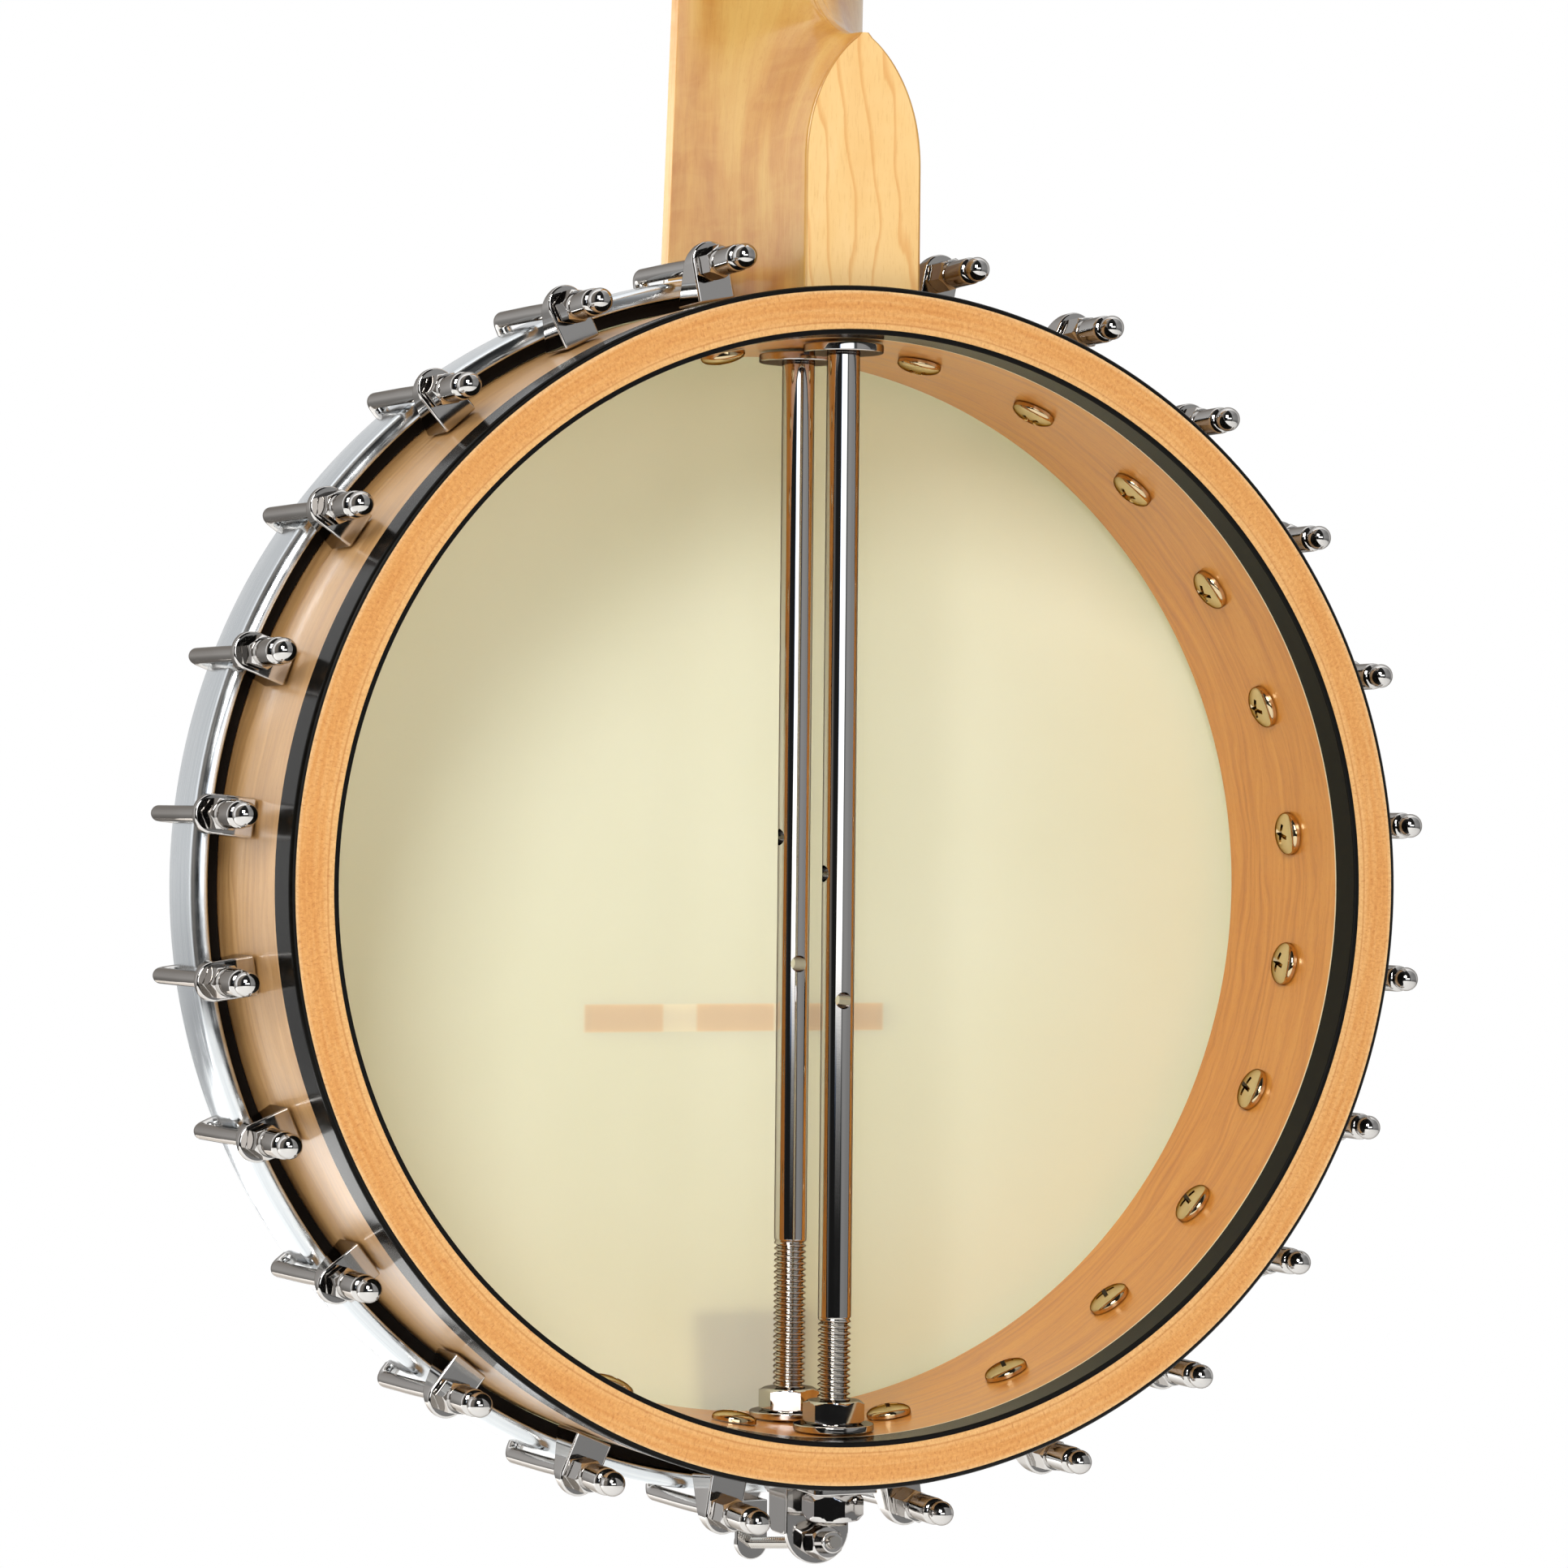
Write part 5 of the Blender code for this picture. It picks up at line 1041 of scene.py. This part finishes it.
def make_tail_screw():
    """The screw with its slotted head, its nut and the collar behind that, and the bare thread."""
    head = turned("head", rounded(mm(SCREW_HEAD_PROFILE), 0.3 * MM), 48)
    slit = rectangle(-0.45 * MM, 0.45 * MM, -1 * MM, 0.9 * MM)
    head = moved(cut(head, prism("slit", slit, -5 * MM, 5 * MM)), on_screw(SCREW_HEAD_Y))
    nut = moved(hexagon("nut", SCREW_NUT_RADIUS, 0.0, SCREW_NUT_LENGTH), on_screw(SCREW_NUT_Y))
    collar = washer("collar", SCREW_RADIUS - 0.2 * MM, SCREW_COLLAR_RADIUS, 0.0, SCREW_COLLAR_LENGTH)
    thread = threaded("screw", SCREW_RADIUS, 0.0, SCREW_LENGTH, sides=16, steps=5)
    return [head, nut, moved(collar, on_screw(SCREW_COLLAR_Y))], moved(thread, on_screw(SCREW_START_Y))


def make_tailpiece():
    """A shaped plate with a slotted string bar, and the strap and tab that its screw pulls."""
    half, wide, end = TAIL_TAB_HALF_WIDTH, TAIL_PLATE_HALF_WIDTH, TAIL_PLATE_END_Z
    front, back = TAIL_PLATE_Y
    strap_low, strap_high = TAIL_STRAP_Z
    tab = [(half, strap_high), (-half, strap_high)]
    tab += arc((0.0, screw_point(TAIL_TAB_Y).z), half, 180, 360, 24)
    tab = bevelled(prism("tab", tab, TAIL_TAB_Y - 0.8 * MM, TAIL_TAB_Y + 0.8 * MM), 0.25 * MM)
    strap = prism("strap", rectangle(-half, half, front, TAIL_TAB_Y), strap_low, strap_high, "Z")
    strap = bevelled(strap, 0.5 * MM)
    side = [(half, strap_low)] + mm([(5.5, -149.5), (8, -146), (11.8, -137)])
    side += [(wide - 1 * MM, -127 * MM), (wide - 0.4 * MM, -116 * MM), (wide, end)]
    plate = bevelled(prism("plate", with_mirror(side), front, back), 0.45 * MM)
    outline = rounded(rectangle(TAIL_BAR_Y, back, TAIL_BAR_Z, end), 1.4 * MM, 6)
    string_bar = prism("string_bar", outline, -wide, wide, "X")
    for across in range(-2, 3):
        x = TAIL_STRINGS_X + across * TAIL_SPACING
        slot = rectangle(x - 0.5 * MM, x + 0.5 * MM, TAIL_BAR_Y - 1 * MM, TAIL_BAR_Y + 1.9 * MM)
        string_bar = cut(string_bar, prism("slot", slot, TAIL_BAR_Z - 1 * MM, end + 1 * MM, "Z"))
    fittings, thread = make_tail_screw()
    body = [part(mesh, 35) for mesh in (tab, strap, plate, string_bar, *fittings)]
    mesh = merged("tailpiece", body + [part(thread, 75, 1)])
    stand_in("tailpiece", mesh, [CHROME, THREAD], "tail_plate", sharp=None)


# ---------------------------------------------------------------- neck

BOARD_UP = Vector((0.0, sin(NECK_PITCH), cos(NECK_PITCH)))
BOARD_BACK = Vector((0.0, cos(NECK_PITCH), -sin(NECK_PITCH)))
BOARD_ORIGIN = Vector((0.0, BOARD_END_Y, BOARD_END_Z))
BOARD_TURN = Matrix.Translation(BOARD_ORIGIN) @ Matrix.Rotation(-NECK_PITCH, 4, "X")
NUT_FRONT = BOARD_LENGTH + 0.4 * MM
NUT_BACK = NUT_FRONT + NUT_LENGTH


def on_board(x, up, depth):
    """A point measured up the fingerboard from the pot and down from its face."""
    return BOARD_ORIGIN + Vector((x, 0.0, 0.0)) + up * BOARD_UP + depth * BOARD_BACK


PEGHEAD_UP = Vector((0.0, sin(PEGHEAD_TILT), cos(PEGHEAD_TILT)))
PEGHEAD_BACK = Vector((0.0, cos(PEGHEAD_TILT), -sin(PEGHEAD_TILT)))
PEGHEAD_ORIGIN = on_board(0.0, NUT_BACK + 1.3 * MM, PEGHEAD_DROP)
PEGHEAD_TURN = Matrix.Translation(PEGHEAD_ORIGIN) @ Matrix.Rotation(-PEGHEAD_TILT, 4, "X")
WOOD_FACE = OVERLAY_THICKNESS + GLUE_GAP
WOOD_BACK = WOOD_FACE + PEGHEAD_THICKNESS


def on_peghead(x, up, depth):
    """A point measured up the peghead from the nut and down from its face."""
    return PEGHEAD_ORIGIN + Vector((x, 0.0, 0.0)) + up * PEGHEAD_UP + depth * PEGHEAD_BACK


def fret_place(number):
    """Distance of a fret up the fingerboard from the pot."""
    return NUT_FRONT - SCALE_LENGTH * (1.0 - 2.0 ** (-number / 12.0))


def treble_half_width(up):
    return blend(HALF_WIDTH_AT_POT, HALF_WIDTH_AT_NUT, up / NUT_FRONT)


def bass_half_width(up):
    """Wide enough for the fifth string up to its peg, then stepped in."""
    if up < SHOULDER_START:
        return blend(HALF_WIDTH_AT_POT, BASS_HALF_WIDTH_AT_FIFTH, up / SHOULDER_START)
    step = smooth_step((up - SHOULDER_START) / (SHOULDER_END - SHOULDER_START))
    shoulder = blend(BASS_HALF_WIDTH_AT_FIFTH, BASS_HALF_WIDTH_ABOVE_FIFTH, step)
    return blend(shoulder, HALF_WIDTH_AT_NUT, (up - SHOULDER_END) / (NUT_FRONT - SHOULDER_END))


def heel_cap_half_width(z):
    """The heel cap's pointed arch, narrowing to a keel above it."""
    t = (z - HEEL_CAP_ARCH_Z) / (HEEL_CAP_TOP_Z - HEEL_CAP_ARCH_Z)
    if t <= 0.0:
        return HEEL_CAP_HALF_WIDTH
    if t >= 1.0:
        return KEEL_HALF_WIDTH
    return max(KEEL_HALF_WIDTH, HEEL_CAP_HALF_WIDTH * (1.0 - t ** 2.2) ** 0.75)


def neck_section(z, rows=HEEL_SIDE_ROWS):
    """The neck's outline at one height, from the treble corner round the back to the bass one."""
    up = (z - BOARD_END_Z) / cos(NECK_PITCH)
    face = BOARD_END_Y + (z - BOARD_END_Z) * tan(NECK_PITCH)
    front = face + BOARD_THICKNESS + GLUE_GAP
    neck_back = face + blend(NECK_DEPTH_AT_HEEL, NECK_DEPTH_AT_NUT, up / NUT_FRONT)
    past_nut = z - PEGHEAD_ORIGIN.z
    if past_nut > 0.0:
        front = PEGHEAD_ORIGIN.y + (WOOD_FACE + 0.4 * MM) / cos(PEGHEAD_TILT) + past_nut * tan(PEGHEAD_TILT)
        neck_back = PEGHEAD_ORIGIN.y + WOOD_BACK / cos(PEGHEAD_TILT) + past_nut * tan(PEGHEAD_TILT) - 0.4 * MM
    if z <= HEEL_CAP_TOP_Z:
        back = HEEL_BACK_Y
    elif z < HEEL_CURVE_END_Z:
        reach = (HEEL_CURVE_END_Z - z) / (HEEL_CURVE_END_Z - HEEL_CAP_TOP_Z)
        back = blend(HEEL_BACK_Y, neck_back, sqrt(1.0 - reach * reach))
    else:
        back = neck_back
    foot = heel_cap_half_width(z)
    roundness = smooth_step((z - HEEL_CAP_ARCH_Z) / (HEEL_CURVE_END_Z - HEEL_CAP_ARCH_Z))
    flare, close = blend(1.0, 2.0, roundness), blend(1.9, 0.55, roundness)
    treble, bass = [], []
    for row in range(rows + 1):
        t = row / rows
        depth = blend(t, sin(t * pi / 2), roundness)
        share = max(0.0, 1.0 - depth ** flare) ** close
        y = blend(front, back, depth)
        treble.append((foot + (treble_half_width(up) - foot) * share, y, z))
        bass.append((-foot - (bass_half_width(up) - foot) * share, y, z))
    corner = min(HEEL_EDGE, foot / 2)
    turn = [(foot - corner * (1 - cos(radians(a))), back - corner * (1 - sin(radians(a))), z)
            for a in (0, 22, 45, 67, 90)]
    return treble[:-1] + turn + [(-x, y, level) for x, y, level in reversed(turn)] + bass[:-1][::-1]


def neck_stations():
    """Heights at which the neck's section is taken, closer together where its shape turns."""
    spans = [(120, 168, 12), (168, 199.5, 26), (199.5, 206, 10), (206, 242, 18), (242, 488, 20),
             (488, 510, 18), (510, 634, 10)]
    levels = [low + (high - low) * i / count for low, high, count in spans for i in range(count)]
    nut_level = PEGHEAD_ORIGIN.z / MM
    levels = [level for level in levels if level < nut_level - 1] + [nut_level - 0.3, nut_level + 9]
    return [level * MM for level in levels]


def peghead_outline():
    """Half-widths up the peghead: a waist at the nut, shoulders, gently spreading sides, a low arch."""
    return with_mirror(mm(PEGHEAD_SIDE), [(0.0, PEGHEAD_LENGTH)])


def tuner_places():
    low, high = TUNER_ROWS
    return {1: (TUNER_X, low), 2: (TUNER_X, high), 3: (-TUNER_X, high), 4: (-TUNER_X, low)}


def eased(sections):
    """The neck's sections with the heel's sides run smoothly past the top of the heel cap."""
    count = len(sections[0])
    rows = [list(map(Vector, section)) for section in sections]
    levels = [section[0][2] / MM for section in sections]
    along = [min(k, count - 1 - k) / HEEL_SIDE_ROWS for k in range(count)]
    by_row = [smooth_step((1.0 - share) / 0.3) for share in along]
    by_level = [smooth_step((level - 172) / 18) * smooth_step((240 - level) / 18) for level in levels]
    for _ in range(60):
        before = [list(row) for row in rows]
        for i in range(1, len(rows) - 1):
            if by_level[i] <= 0.0:
                continue
            span = levels[i + 1] - levels[i - 1]
            share = (levels[i] - levels[i - 1]) / span
            for k in range(count):
                middle = before[i - 1][k].lerp(before[i + 1][k], share)
                rows[i][k] = before[i][k].lerp(middle, 0.5 * by_level[i] * by_row[k])
    return rows


def make_neck():
    neck = skin("neck", eased([neck_section(z) for z in neck_stations()]), caps=True)
    wood = bevelled(prism("peghead", peghead_outline(), WOOD_FACE, WOOD_BACK), 0.8 * MM, 4)
    neck = combined(neck, moved(wood, PEGHEAD_TURN), "UNION")
    clear_rim, clear_hoop = RIM_OUTER_RADIUS + 0.45 * MM, HOOP_OUTER_RADIUS + 0.6 * MM
    step, past_back, past_front = HOOP_BACK_Y + 0.6 * MM, 10 * MM, -90 * MM
    profile = [(0.0, past_back), (clear_rim, past_back), (clear_rim, step),
               (clear_hoop, step), (clear_hoop, past_front), (0.0, past_front)]
    neck = cut(neck, turned("pot", profile, along="Y"))

    def pick(centre, normal):
        return 1 if normal.y > 0.99 and centre.z < HEEL_CAP_TOP_Z else 0
    stand_in("neck", neck, [NECK, HEEL_CAP], "neck_maple", pick=pick, sharp=58)


def make_overlay():
    sheet = bevelled(prism("overlay", peghead_outline(), 0.0, OVERLAY_THICKNESS), 0.3 * MM)
    stand_in("peghead_overlay", sheet, [OVERLAY], "overlay_wood", POT @ PEGHEAD_TURN)


def fret_wire(up):
    """One crowned fret, its ends filed back."""
    left, right = 0.4 * MM - bass_half_width(up), treble_half_width(up) - 0.4 * MM
    rings = []
    for x, height in ((left, 0.3), (left + 0.5 * MM, 0.85), (left + 1 * MM, 1.0),
                      (right - 1 * MM, 1.0), (right - 0.5 * MM, 0.85), (right, 0.3)):
        crown = [(x, -FRET_HEIGHT * height * sin(radians(a)), up + FRET_HALF_WIDTH * cos(radians(a)))
                 for a in range(0, 181, 20)]
        rings.append(crown + [(x, 0.5 * MM, up - FRET_HALF_WIDTH), (x, 0.5 * MM, up + FRET_HALF_WIDTH)])
    return skin("fret", rings, caps=True)


def make_board():
    """The board with its frets, its dots and the fifth string's pip in one mesh."""
    steps = [blend(SHOULDER_START, SHOULDER_END, k / 12) for k in range(1, 13)]
    treble = [(treble_half_width(up), up) for up in (0.0, BOARD_LENGTH)]
    bass = [(-bass_half_width(up), up) for up in (0.0, SHOULDER_START, *steps, BOARD_LENGTH)]
    board = bevelled(prism("board", treble + bass[::-1], 0.0, BOARD_THICKNESS), 0.35 * MM)
    parts = [part(board, 35)]
    parts += [part(fret_wire(fret_place(number)), 50, 1) for number in range(1, FRET_COUNT + 1)]
    places = [(0.0, fret) for fret in DOT_FRETS]
    places += [(x, DOUBLE_DOT_FRET) for x in (-DOUBLE_DOT_X, DOUBLE_DOT_X)]
    for x, fret in places:
        up = (fret_place(fret) + fret_place(fret - 1)) / 2
        disc = rounded(rectangle(0.0, DOT_RADIUS, -DOT_RISE, 0.4 * MM), DOT_RISE / 2)
        parts.append(part(moved(turned("dot", disc, 40, along="Y"), shift(x=x, z=up)), 35, 2))
    pip = bar("pip", PIP_RADIUS, -0.5 * MM, NUT_RISE, 32, 0.3 * MM)
    pip = moved(pip, shift(x=FIFTH_STRING_X, z=fret_place(5) + PIP_ABOVE_FRET) @ quarter_turn("X"))
    board = merged("board", parts + [part(pip, 35, 3)])
    finishes = [BOARD, FRET, DOT, BONE]
    stand_in("fingerboard", board, finishes, "board_wood", POT @ BOARD_TURN, sharp=None)


def make_nut():
    section = [(BOARD_THICKNESS, NUT_FRONT), (BOARD_THICKNESS, NUT_BACK), (-NUT_BACK_RISE, NUT_BACK),
               (-NUT_RISE, NUT_FRONT + NUT_LAND), (-NUT_RISE, NUT_FRONT)]
    block = prism("nut", rounded(section, 0.3 * MM), -HALF_WIDTH_AT_NUT, HALF_WIDTH_AT_NUT, "X")
    for string in range(1, 5):
        x, half = (2.5 - string) * NUT_SPACING, STRING_RADII[string - 1] + 0.06 * MM
        slot = rectangle(x - half, x + half, -NUT_RISE - 1 * MM, -NUT_RISE + 0.5 * MM)
        block = cut(block, prism("slot", slot, NUT_FRONT - 1 * MM, NUT_BACK + 1 * MM, "Z"))
    stand_in("string_nut", block, [BONE], "nut_bone", POT @ BOARD_TURN)


# ---------------------------------------------------------------- bridge and strings

BRIDGE_FOOT_Y = HEAD_FRONT_Y - 0.3 * MM
BRIDGE_TOP_Y = BRIDGE_FOOT_Y - BRIDGE_HEIGHT


def make_bridge():
    """Three feet under two arches, thinning towards a top with five notches."""
    half, foot = BRIDGE_HALF_LENGTH, BRIDGE_FOOT_LENGTH
    arch_half = (half - 1.5 * foot) / 2
    centre = foot / 2 + arch_half
    arch = [(centre + arch_half * cos(pi * i / 24), BRIDGE_ARCH_RISE * sin(pi * i / 24)) for i in range(25)]
    top = [(half, 6.0 * MM), (half - 0.6 * MM, 8.4 * MM), (half - 2.6 * MM, 10.2 * MM),
           (half - 8 * MM, 12.6 * MM), (24.5 * MM, 15.3 * MM), (22.0 * MM, BRIDGE_HEIGHT)]
    outline = with_mirror(arch[::-1] + [(half, 0.0)] + top)
    thick = [blend(BRIDGE_FOOT_THICKNESS, BRIDGE_TOP_THICKNESS, rise / BRIDGE_HEIGHT) for _, rise in outline]
    rings = [[(x, -rise, side * t) for (x, rise), t in zip(outline, thick)] for side in (-0.5, 0.5)]
    bridge = bevelled(skin("bridge", rings, caps=True), 0.3 * MM)
    above, bottom = -BRIDGE_HEIGHT - 1 * MM, -BRIDGE_HEIGHT + NOTCH_DEPTH
    for across in range(-2, 3):
        x = across * BRIDGE_SPACING
        notch = [(x - NOTCH_HALF_WIDTH, above), (x + NOTCH_HALF_WIDTH, above), (x, bottom)]
        bridge = cut(bridge, prism("notch", notch, -4 * MM, 4 * MM, "Z"))
    place = POT @ shift(BRIDGE_X, BRIDGE_FOOT_Y, BRIDGE_Z)
    stand_in("bridge", bridge, [BRIDGE_WOOD], "bridge_maple", place)


def fifth_peg_seat(out):
    """A point on the fifth peg's axis, measured outwards from the neck's bass side."""
    x, up = -BASS_HALF_WIDTH_AT_FIFTH - 0.5 * MM - out, fret_place(5) + FIFTH_PEG_ABOVE_FRET
    return on_board(x, up, FIFTH_PEG_DEPTH)


def string_route(number):
    """Where a string runs: from the tailpiece over the bridge and the nut to its post."""
    lift = STRING_CLEARANCE + STRING_RADII[number - 1]
    across = 3 - number
    x = TAIL_STRINGS_X + across * TAIL_SPACING
    tail = Vector((x, TAIL_BAR_Y + 1.4 * MM, TAIL_PLATE_END_Z + 0.4 * MM))
    bridge = Vector((BRIDGE_X + across * BRIDGE_SPACING, BRIDGE_TOP_Y - lift, BRIDGE_Z))
    if number == 5:
        stop = on_board(FIFTH_STRING_X, fret_place(5) + PIP_ABOVE_FRET, -NUT_RISE - lift)
        edge = on_board(-BASS_HALF_WIDTH_AT_FIFTH - 0.3 * MM, fret_place(5) + 9 * MM, -0.8 * MM)
        spool = fifth_peg_seat(SPOOL_MIDDLE) + Vector((0.0, -SPOOL_RADIUS - 0.5 * MM, 0.0))
        return [tail, bridge, stop, edge, spool]
    nut = on_board((2.5 - number) * NUT_SPACING, NUT_FRONT + NUT_LAND / 2, -NUT_RISE - lift)
    x, up = tuner_places()[number]
    inward = -1.0 if x > 0 else 1.0
    beside = x + inward * (POST_RADIUS + 0.3 * MM)
    return [tail, bridge, nut, on_peghead(beside, up, WOOD_BACK - STRING_AT_POST)]


def make_strings():
    for number in range(1, 6):
        mesh = swept("string", filleted(string_route(number), 3 * MM, 4), STRING_RADII[number - 1], sides=12)
        stand_in(f"string_{number}", mesh, [WOUND if number == 4 else STEEL], "string_steel")


# ---------------------------------------------------------------- tuners

def make_knob(centre, shaft_start, towards):
    """A flattened pearly knob with soft corners on its shaft, and the collar at its root."""
    wide, thin, long_half = BUTTON_SIZE
    rings = []
    count = 22
    for i in range(count + 1):
        t = -cos(pi * i / count)
        share = max(0.0, 1 - abs(t) ** 2.8) ** 0.5
        ring = []
        for k in range(40):
            a = 2 * pi * k / 40
            c, s = cos(a), sin(a)
            x = abs(c) ** 0.82 * (1 if c > 0 else -1)
            y = abs(s) ** 0.9 * (1 if s > 0 else -1)
            ring.append((wide * x * max(share, 0.02), thin * y * max(share, 0.02), centre + long_half * t))
        rings.append(ring)
    knob = skin("knob", rings, caps=True)
    root = centre - towards * (long_half - 0.8 * MM)
    low, high = sorted((shaft_start, root))
    shaft = bar("shaft", SHAFT_RADIUS, low, high, 40)
    low, high = sorted((root - towards * 0.9 * MM, root + towards * 1.2 * MM))
    collar = bar("collar", 3.3 * MM, low, high, 40, 0.5 * MM)
    return merged("knob", [part(knob, 60, 1), part(shaft, 40), part(collar, 40)])


def wraps(radius, string_radius, middle, turns=3.5):
    """String wound round a post, along local Z."""
    around = radius + string_radius
    pitch = 2.15 * string_radius
    count = int(turns * 24)
    path = []
    for k in range(count + 1):
        a, rise = 2 * pi * k / 24, middle - pitch * (k / 24 - turns / 2)
        path.append((around * cos(a), around * sin(a), rise))
    return swept("wraps", path, string_radius, sides=10)


def make_post():
    """A waisted post with a hole for the string, measured out from the peghead's back."""
    tip, low = WOOD_BACK + POST_REACH, -3 * MM
    outline = mm([(0, 0), (1.9, 0), (2.5, -0.2)], tip) + [(POST_RADIUS, tip - 0.9 * MM)]
    outline += [(POST_RADIUS * (1 - 0.15 * cos(radians(a)) ** 2), STRING_AT_POST - 3 * MM * a / 90)
                for a in range(-90, 91, 18)]
    post = turned("post", outline + [(POST_RADIUS, low), (0.0, low)], 48)
    drill = bar("drill", 0.8 * MM, -5 * MM, 5 * MM, 24)
    return cut(post, moved(drill, shift(z=STRING_AT_POST) @ quarter_turn("X")))


def make_tuners():
    post = make_post()
    can = rounded(mm(TUNER_BUSHING_PROFILE, WOOD_BACK) + mm(TUNER_CAN_PROFILE), 0.35 * MM)
    can = turned("can", can, 72)
    knob = make_knob(-TUNER_CAN_DEPTH - BUTTON_GAP - BUTTON_SIZE[2], -5 * MM, -1)
    for number, (x, up) in tuner_places().items():
        place = POT @ Matrix.Translation(on_peghead(x, up, WOOD_BACK))
        place = place @ Matrix.Rotation(pi / 2 - PEGHEAD_TILT, 4, "X")
        wound = wraps(POST_RADIUS * 0.87, STRING_RADII[number - 1], STRING_AT_POST)
        place_tuner(number, place, can, post, knob, wound)
    can = turned("can", rounded(mm(FIFTH_CAN_PROFILE), 0.3 * MM), 72)
    spool = turned("spool", rounded(mm(SPOOL_PROFILE), 0.25 * MM), 48)
    knob = make_knob(FIFTH_CAN_LENGTH + BUTTON_GAP + BUTTON_SIZE[2], 14.5 * MM, 1)
    place = POT @ Matrix.Translation(fifth_peg_seat(0.0)) @ quarter_turn("Y", -1)
    place_tuner(5, place, can, spool, knob, wraps(SPOOL_RADIUS, STRING_RADII[4], SPOOL_MIDDLE))


def place_tuner(number, place, can, post, knob, wound):
    node, turning = f"tuner_{number}", f"post_{number}"
    stand_in(f"{node}_housing", can, [CHROME], "tuner_chrome", place)
    stand_in(f"{node}_post", post, [CHROME], "tuner_chrome", place, turning)
    stand_in(f"{node}_button", knob, [CHROME, PEARL], "tuner_button", place, f"button_{number}", sharp=None)
    winding = [WOUND if number == 4 else STEEL]
    piece(f"{node}_string_wraps", wound, winding, "string_steel", place, turning, sharp=60)


make_rim()
make_tone_ring()
make_head()
make_flesh_hoop()
make_tension_hoop()
make_brackets()
make_rods()
make_hanger()
make_tailpiece()
make_neck()
make_overlay()
make_board()
make_nut()
make_bridge()
make_strings()
make_tuners()


# ---------------------------------------------------------------- floor, light and camera

def make_floor():
    level, radius = -1.2, 1.9
    disc = turned("floor", rectangle(0.0, radius, level, level - 0.02), 96)
    floor = bpy.data.objects.new("floor", disc)
    bpy.context.scene.collection.objects.link(floor)
    finish = Finish("floor_paper", base_color=(0.8, 0.8, 0.79, 1.0), roughness=0.8)
    disc.materials.append(finish.made)


def make_world():
    """A pale studio: soft light from above, darker strips between the lights for metal to mirror."""
    world = bpy.data.worlds.new("studio")
    bpy.context.scene.world = world
    world.use_nodes = True
    world.node_tree.nodes.clear()
    sky = Nodes(world.node_tree)
    x, y, z = sky.split(sky.add("TexCoord", {}, output="Generated"))
    turn = sky.plus(sky.times(sky.math("ARCTAN2", y, x), 1 / (2 * pi)), 0.5)
    height = sky.plus(sky.times(z, 0.5), 0.5)
    taupe = (0.24, 0.215, 0.19)
    strips = sky.ramp(turn, [
        (0.0, 0.75), (0.24, 0.8), (0.27, 0.7), (0.36, 0.7), (0.385, 1.2), (0.42, 1.2), (0.45, taupe),
        (0.52, taupe), (0.56, 0.06), (0.575, 0.015), (0.775, 0.015), (0.785, 0.06), (0.80, 0.35), (0.84, 0.35),
        (0.9, 0.3),
    ])
    levels = sky.ramp(height, [(0.0, 0.35), (0.4, 0.6), (0.5, 1.0), (0.8, 0.9), (1.0, 1.7)])
    blue_edge, grey_edge = (0.5, 0.7, 1.1), (0.3, 0.34, 0.36)
    across = sky.ramp(turn, [
        (0.655, 0.0), (0.66, blue_edge), (0.668, 2.2), (0.762, 2.2), (0.77, grey_edge), (0.78, 0.0)])
    upright = sky.ramp(height, [
        (0.46, 0.0), (0.475, 0.12), (0.486, 0.8), (0.49, 1.0), (0.56, 1.0), (0.6, 0.0)])
    backdrop = sky.add("VectorMath", {0: strips, 1: levels}, operation="MULTIPLY")
    window = sky.add("VectorMath", {0: across, 1: upright}, operation="MULTIPLY")
    light = sky.add("VectorMath", {0: backdrop, 1: window}, operation="ADD")
    studio = sky.add("Background", {"Color": light, "Strength": 1.0})
    white = sky.add("Background", {"Color": (1.0, 1.0, 1.0, 1.0), "Strength": 1.0})
    seen = sky.add("LightPath", {}, output="Is Camera Ray")
    output = sky.tree.nodes.new("ShaderNodeOutputWorld")
    sky.join(output.inputs[0], sky.add("MixShader", {0: seen, 1: studio, 2: white}))


def add_light(name, place, target, size, power, colour=(1.0, 1.0, 1.0), mirrored=True):
    data = bpy.data.lights.new(name, "AREA")
    data.shape = "RECTANGLE"
    data.size, data.size_y = size
    data.energy = power
    data.color = colour
    light = bpy.data.objects.new(name, data)
    light.location = place
    light.rotation_euler = (Vector(target) - Vector(place)).to_track_quat("-Z", "Y").to_euler()
    light.visible_glossy = mirrored
    bpy.context.scene.collection.objects.link(light)


make_floor()
make_world()
bpy.context.scene.view_settings.view_transform = "Standard"
POT_TARGET = tuple(POT_ORIGIN)
add_light("key", (1.5, 2.2, 0.6), POT_TARGET, (1.0, 1.0), 55.0, (1.0, 0.98, 0.95))
add_light("fill", (-2.0, 1.8, -0.2), POT_TARGET, (1.2, 2.0), 8.0, (0.95, 0.97, 1.0), mirrored=False)
add_light("top", (0.3, 0.6, 1.6), POT_TARGET, (1.6, 1.6), 16.0, (1.0, 0.99, 0.96), mirrored=False)
add_light("head_glow", (0.55, -2.0, -0.5), POT_TARGET, (2.6, 1.3), 88.0, mirrored=False)

camera_data = bpy.data.cameras.new("photo_camera")
camera_data.lens = 112.109
camera_data.sensor_width = 36.0
camera_data.clip_start = 0.05
camera = bpy.data.objects.new("photo_camera", camera_data)
camera.location = (0.456727, 1.080653, -0.628126)
camera.rotation_euler = tuple(radians(angle) for angle in (90.45377, -0.54458, 157.20901))
bpy.context.scene.collection.objects.link(camera)
bpy.context.scene.camera = camera

bpy.context.view_layer.update()
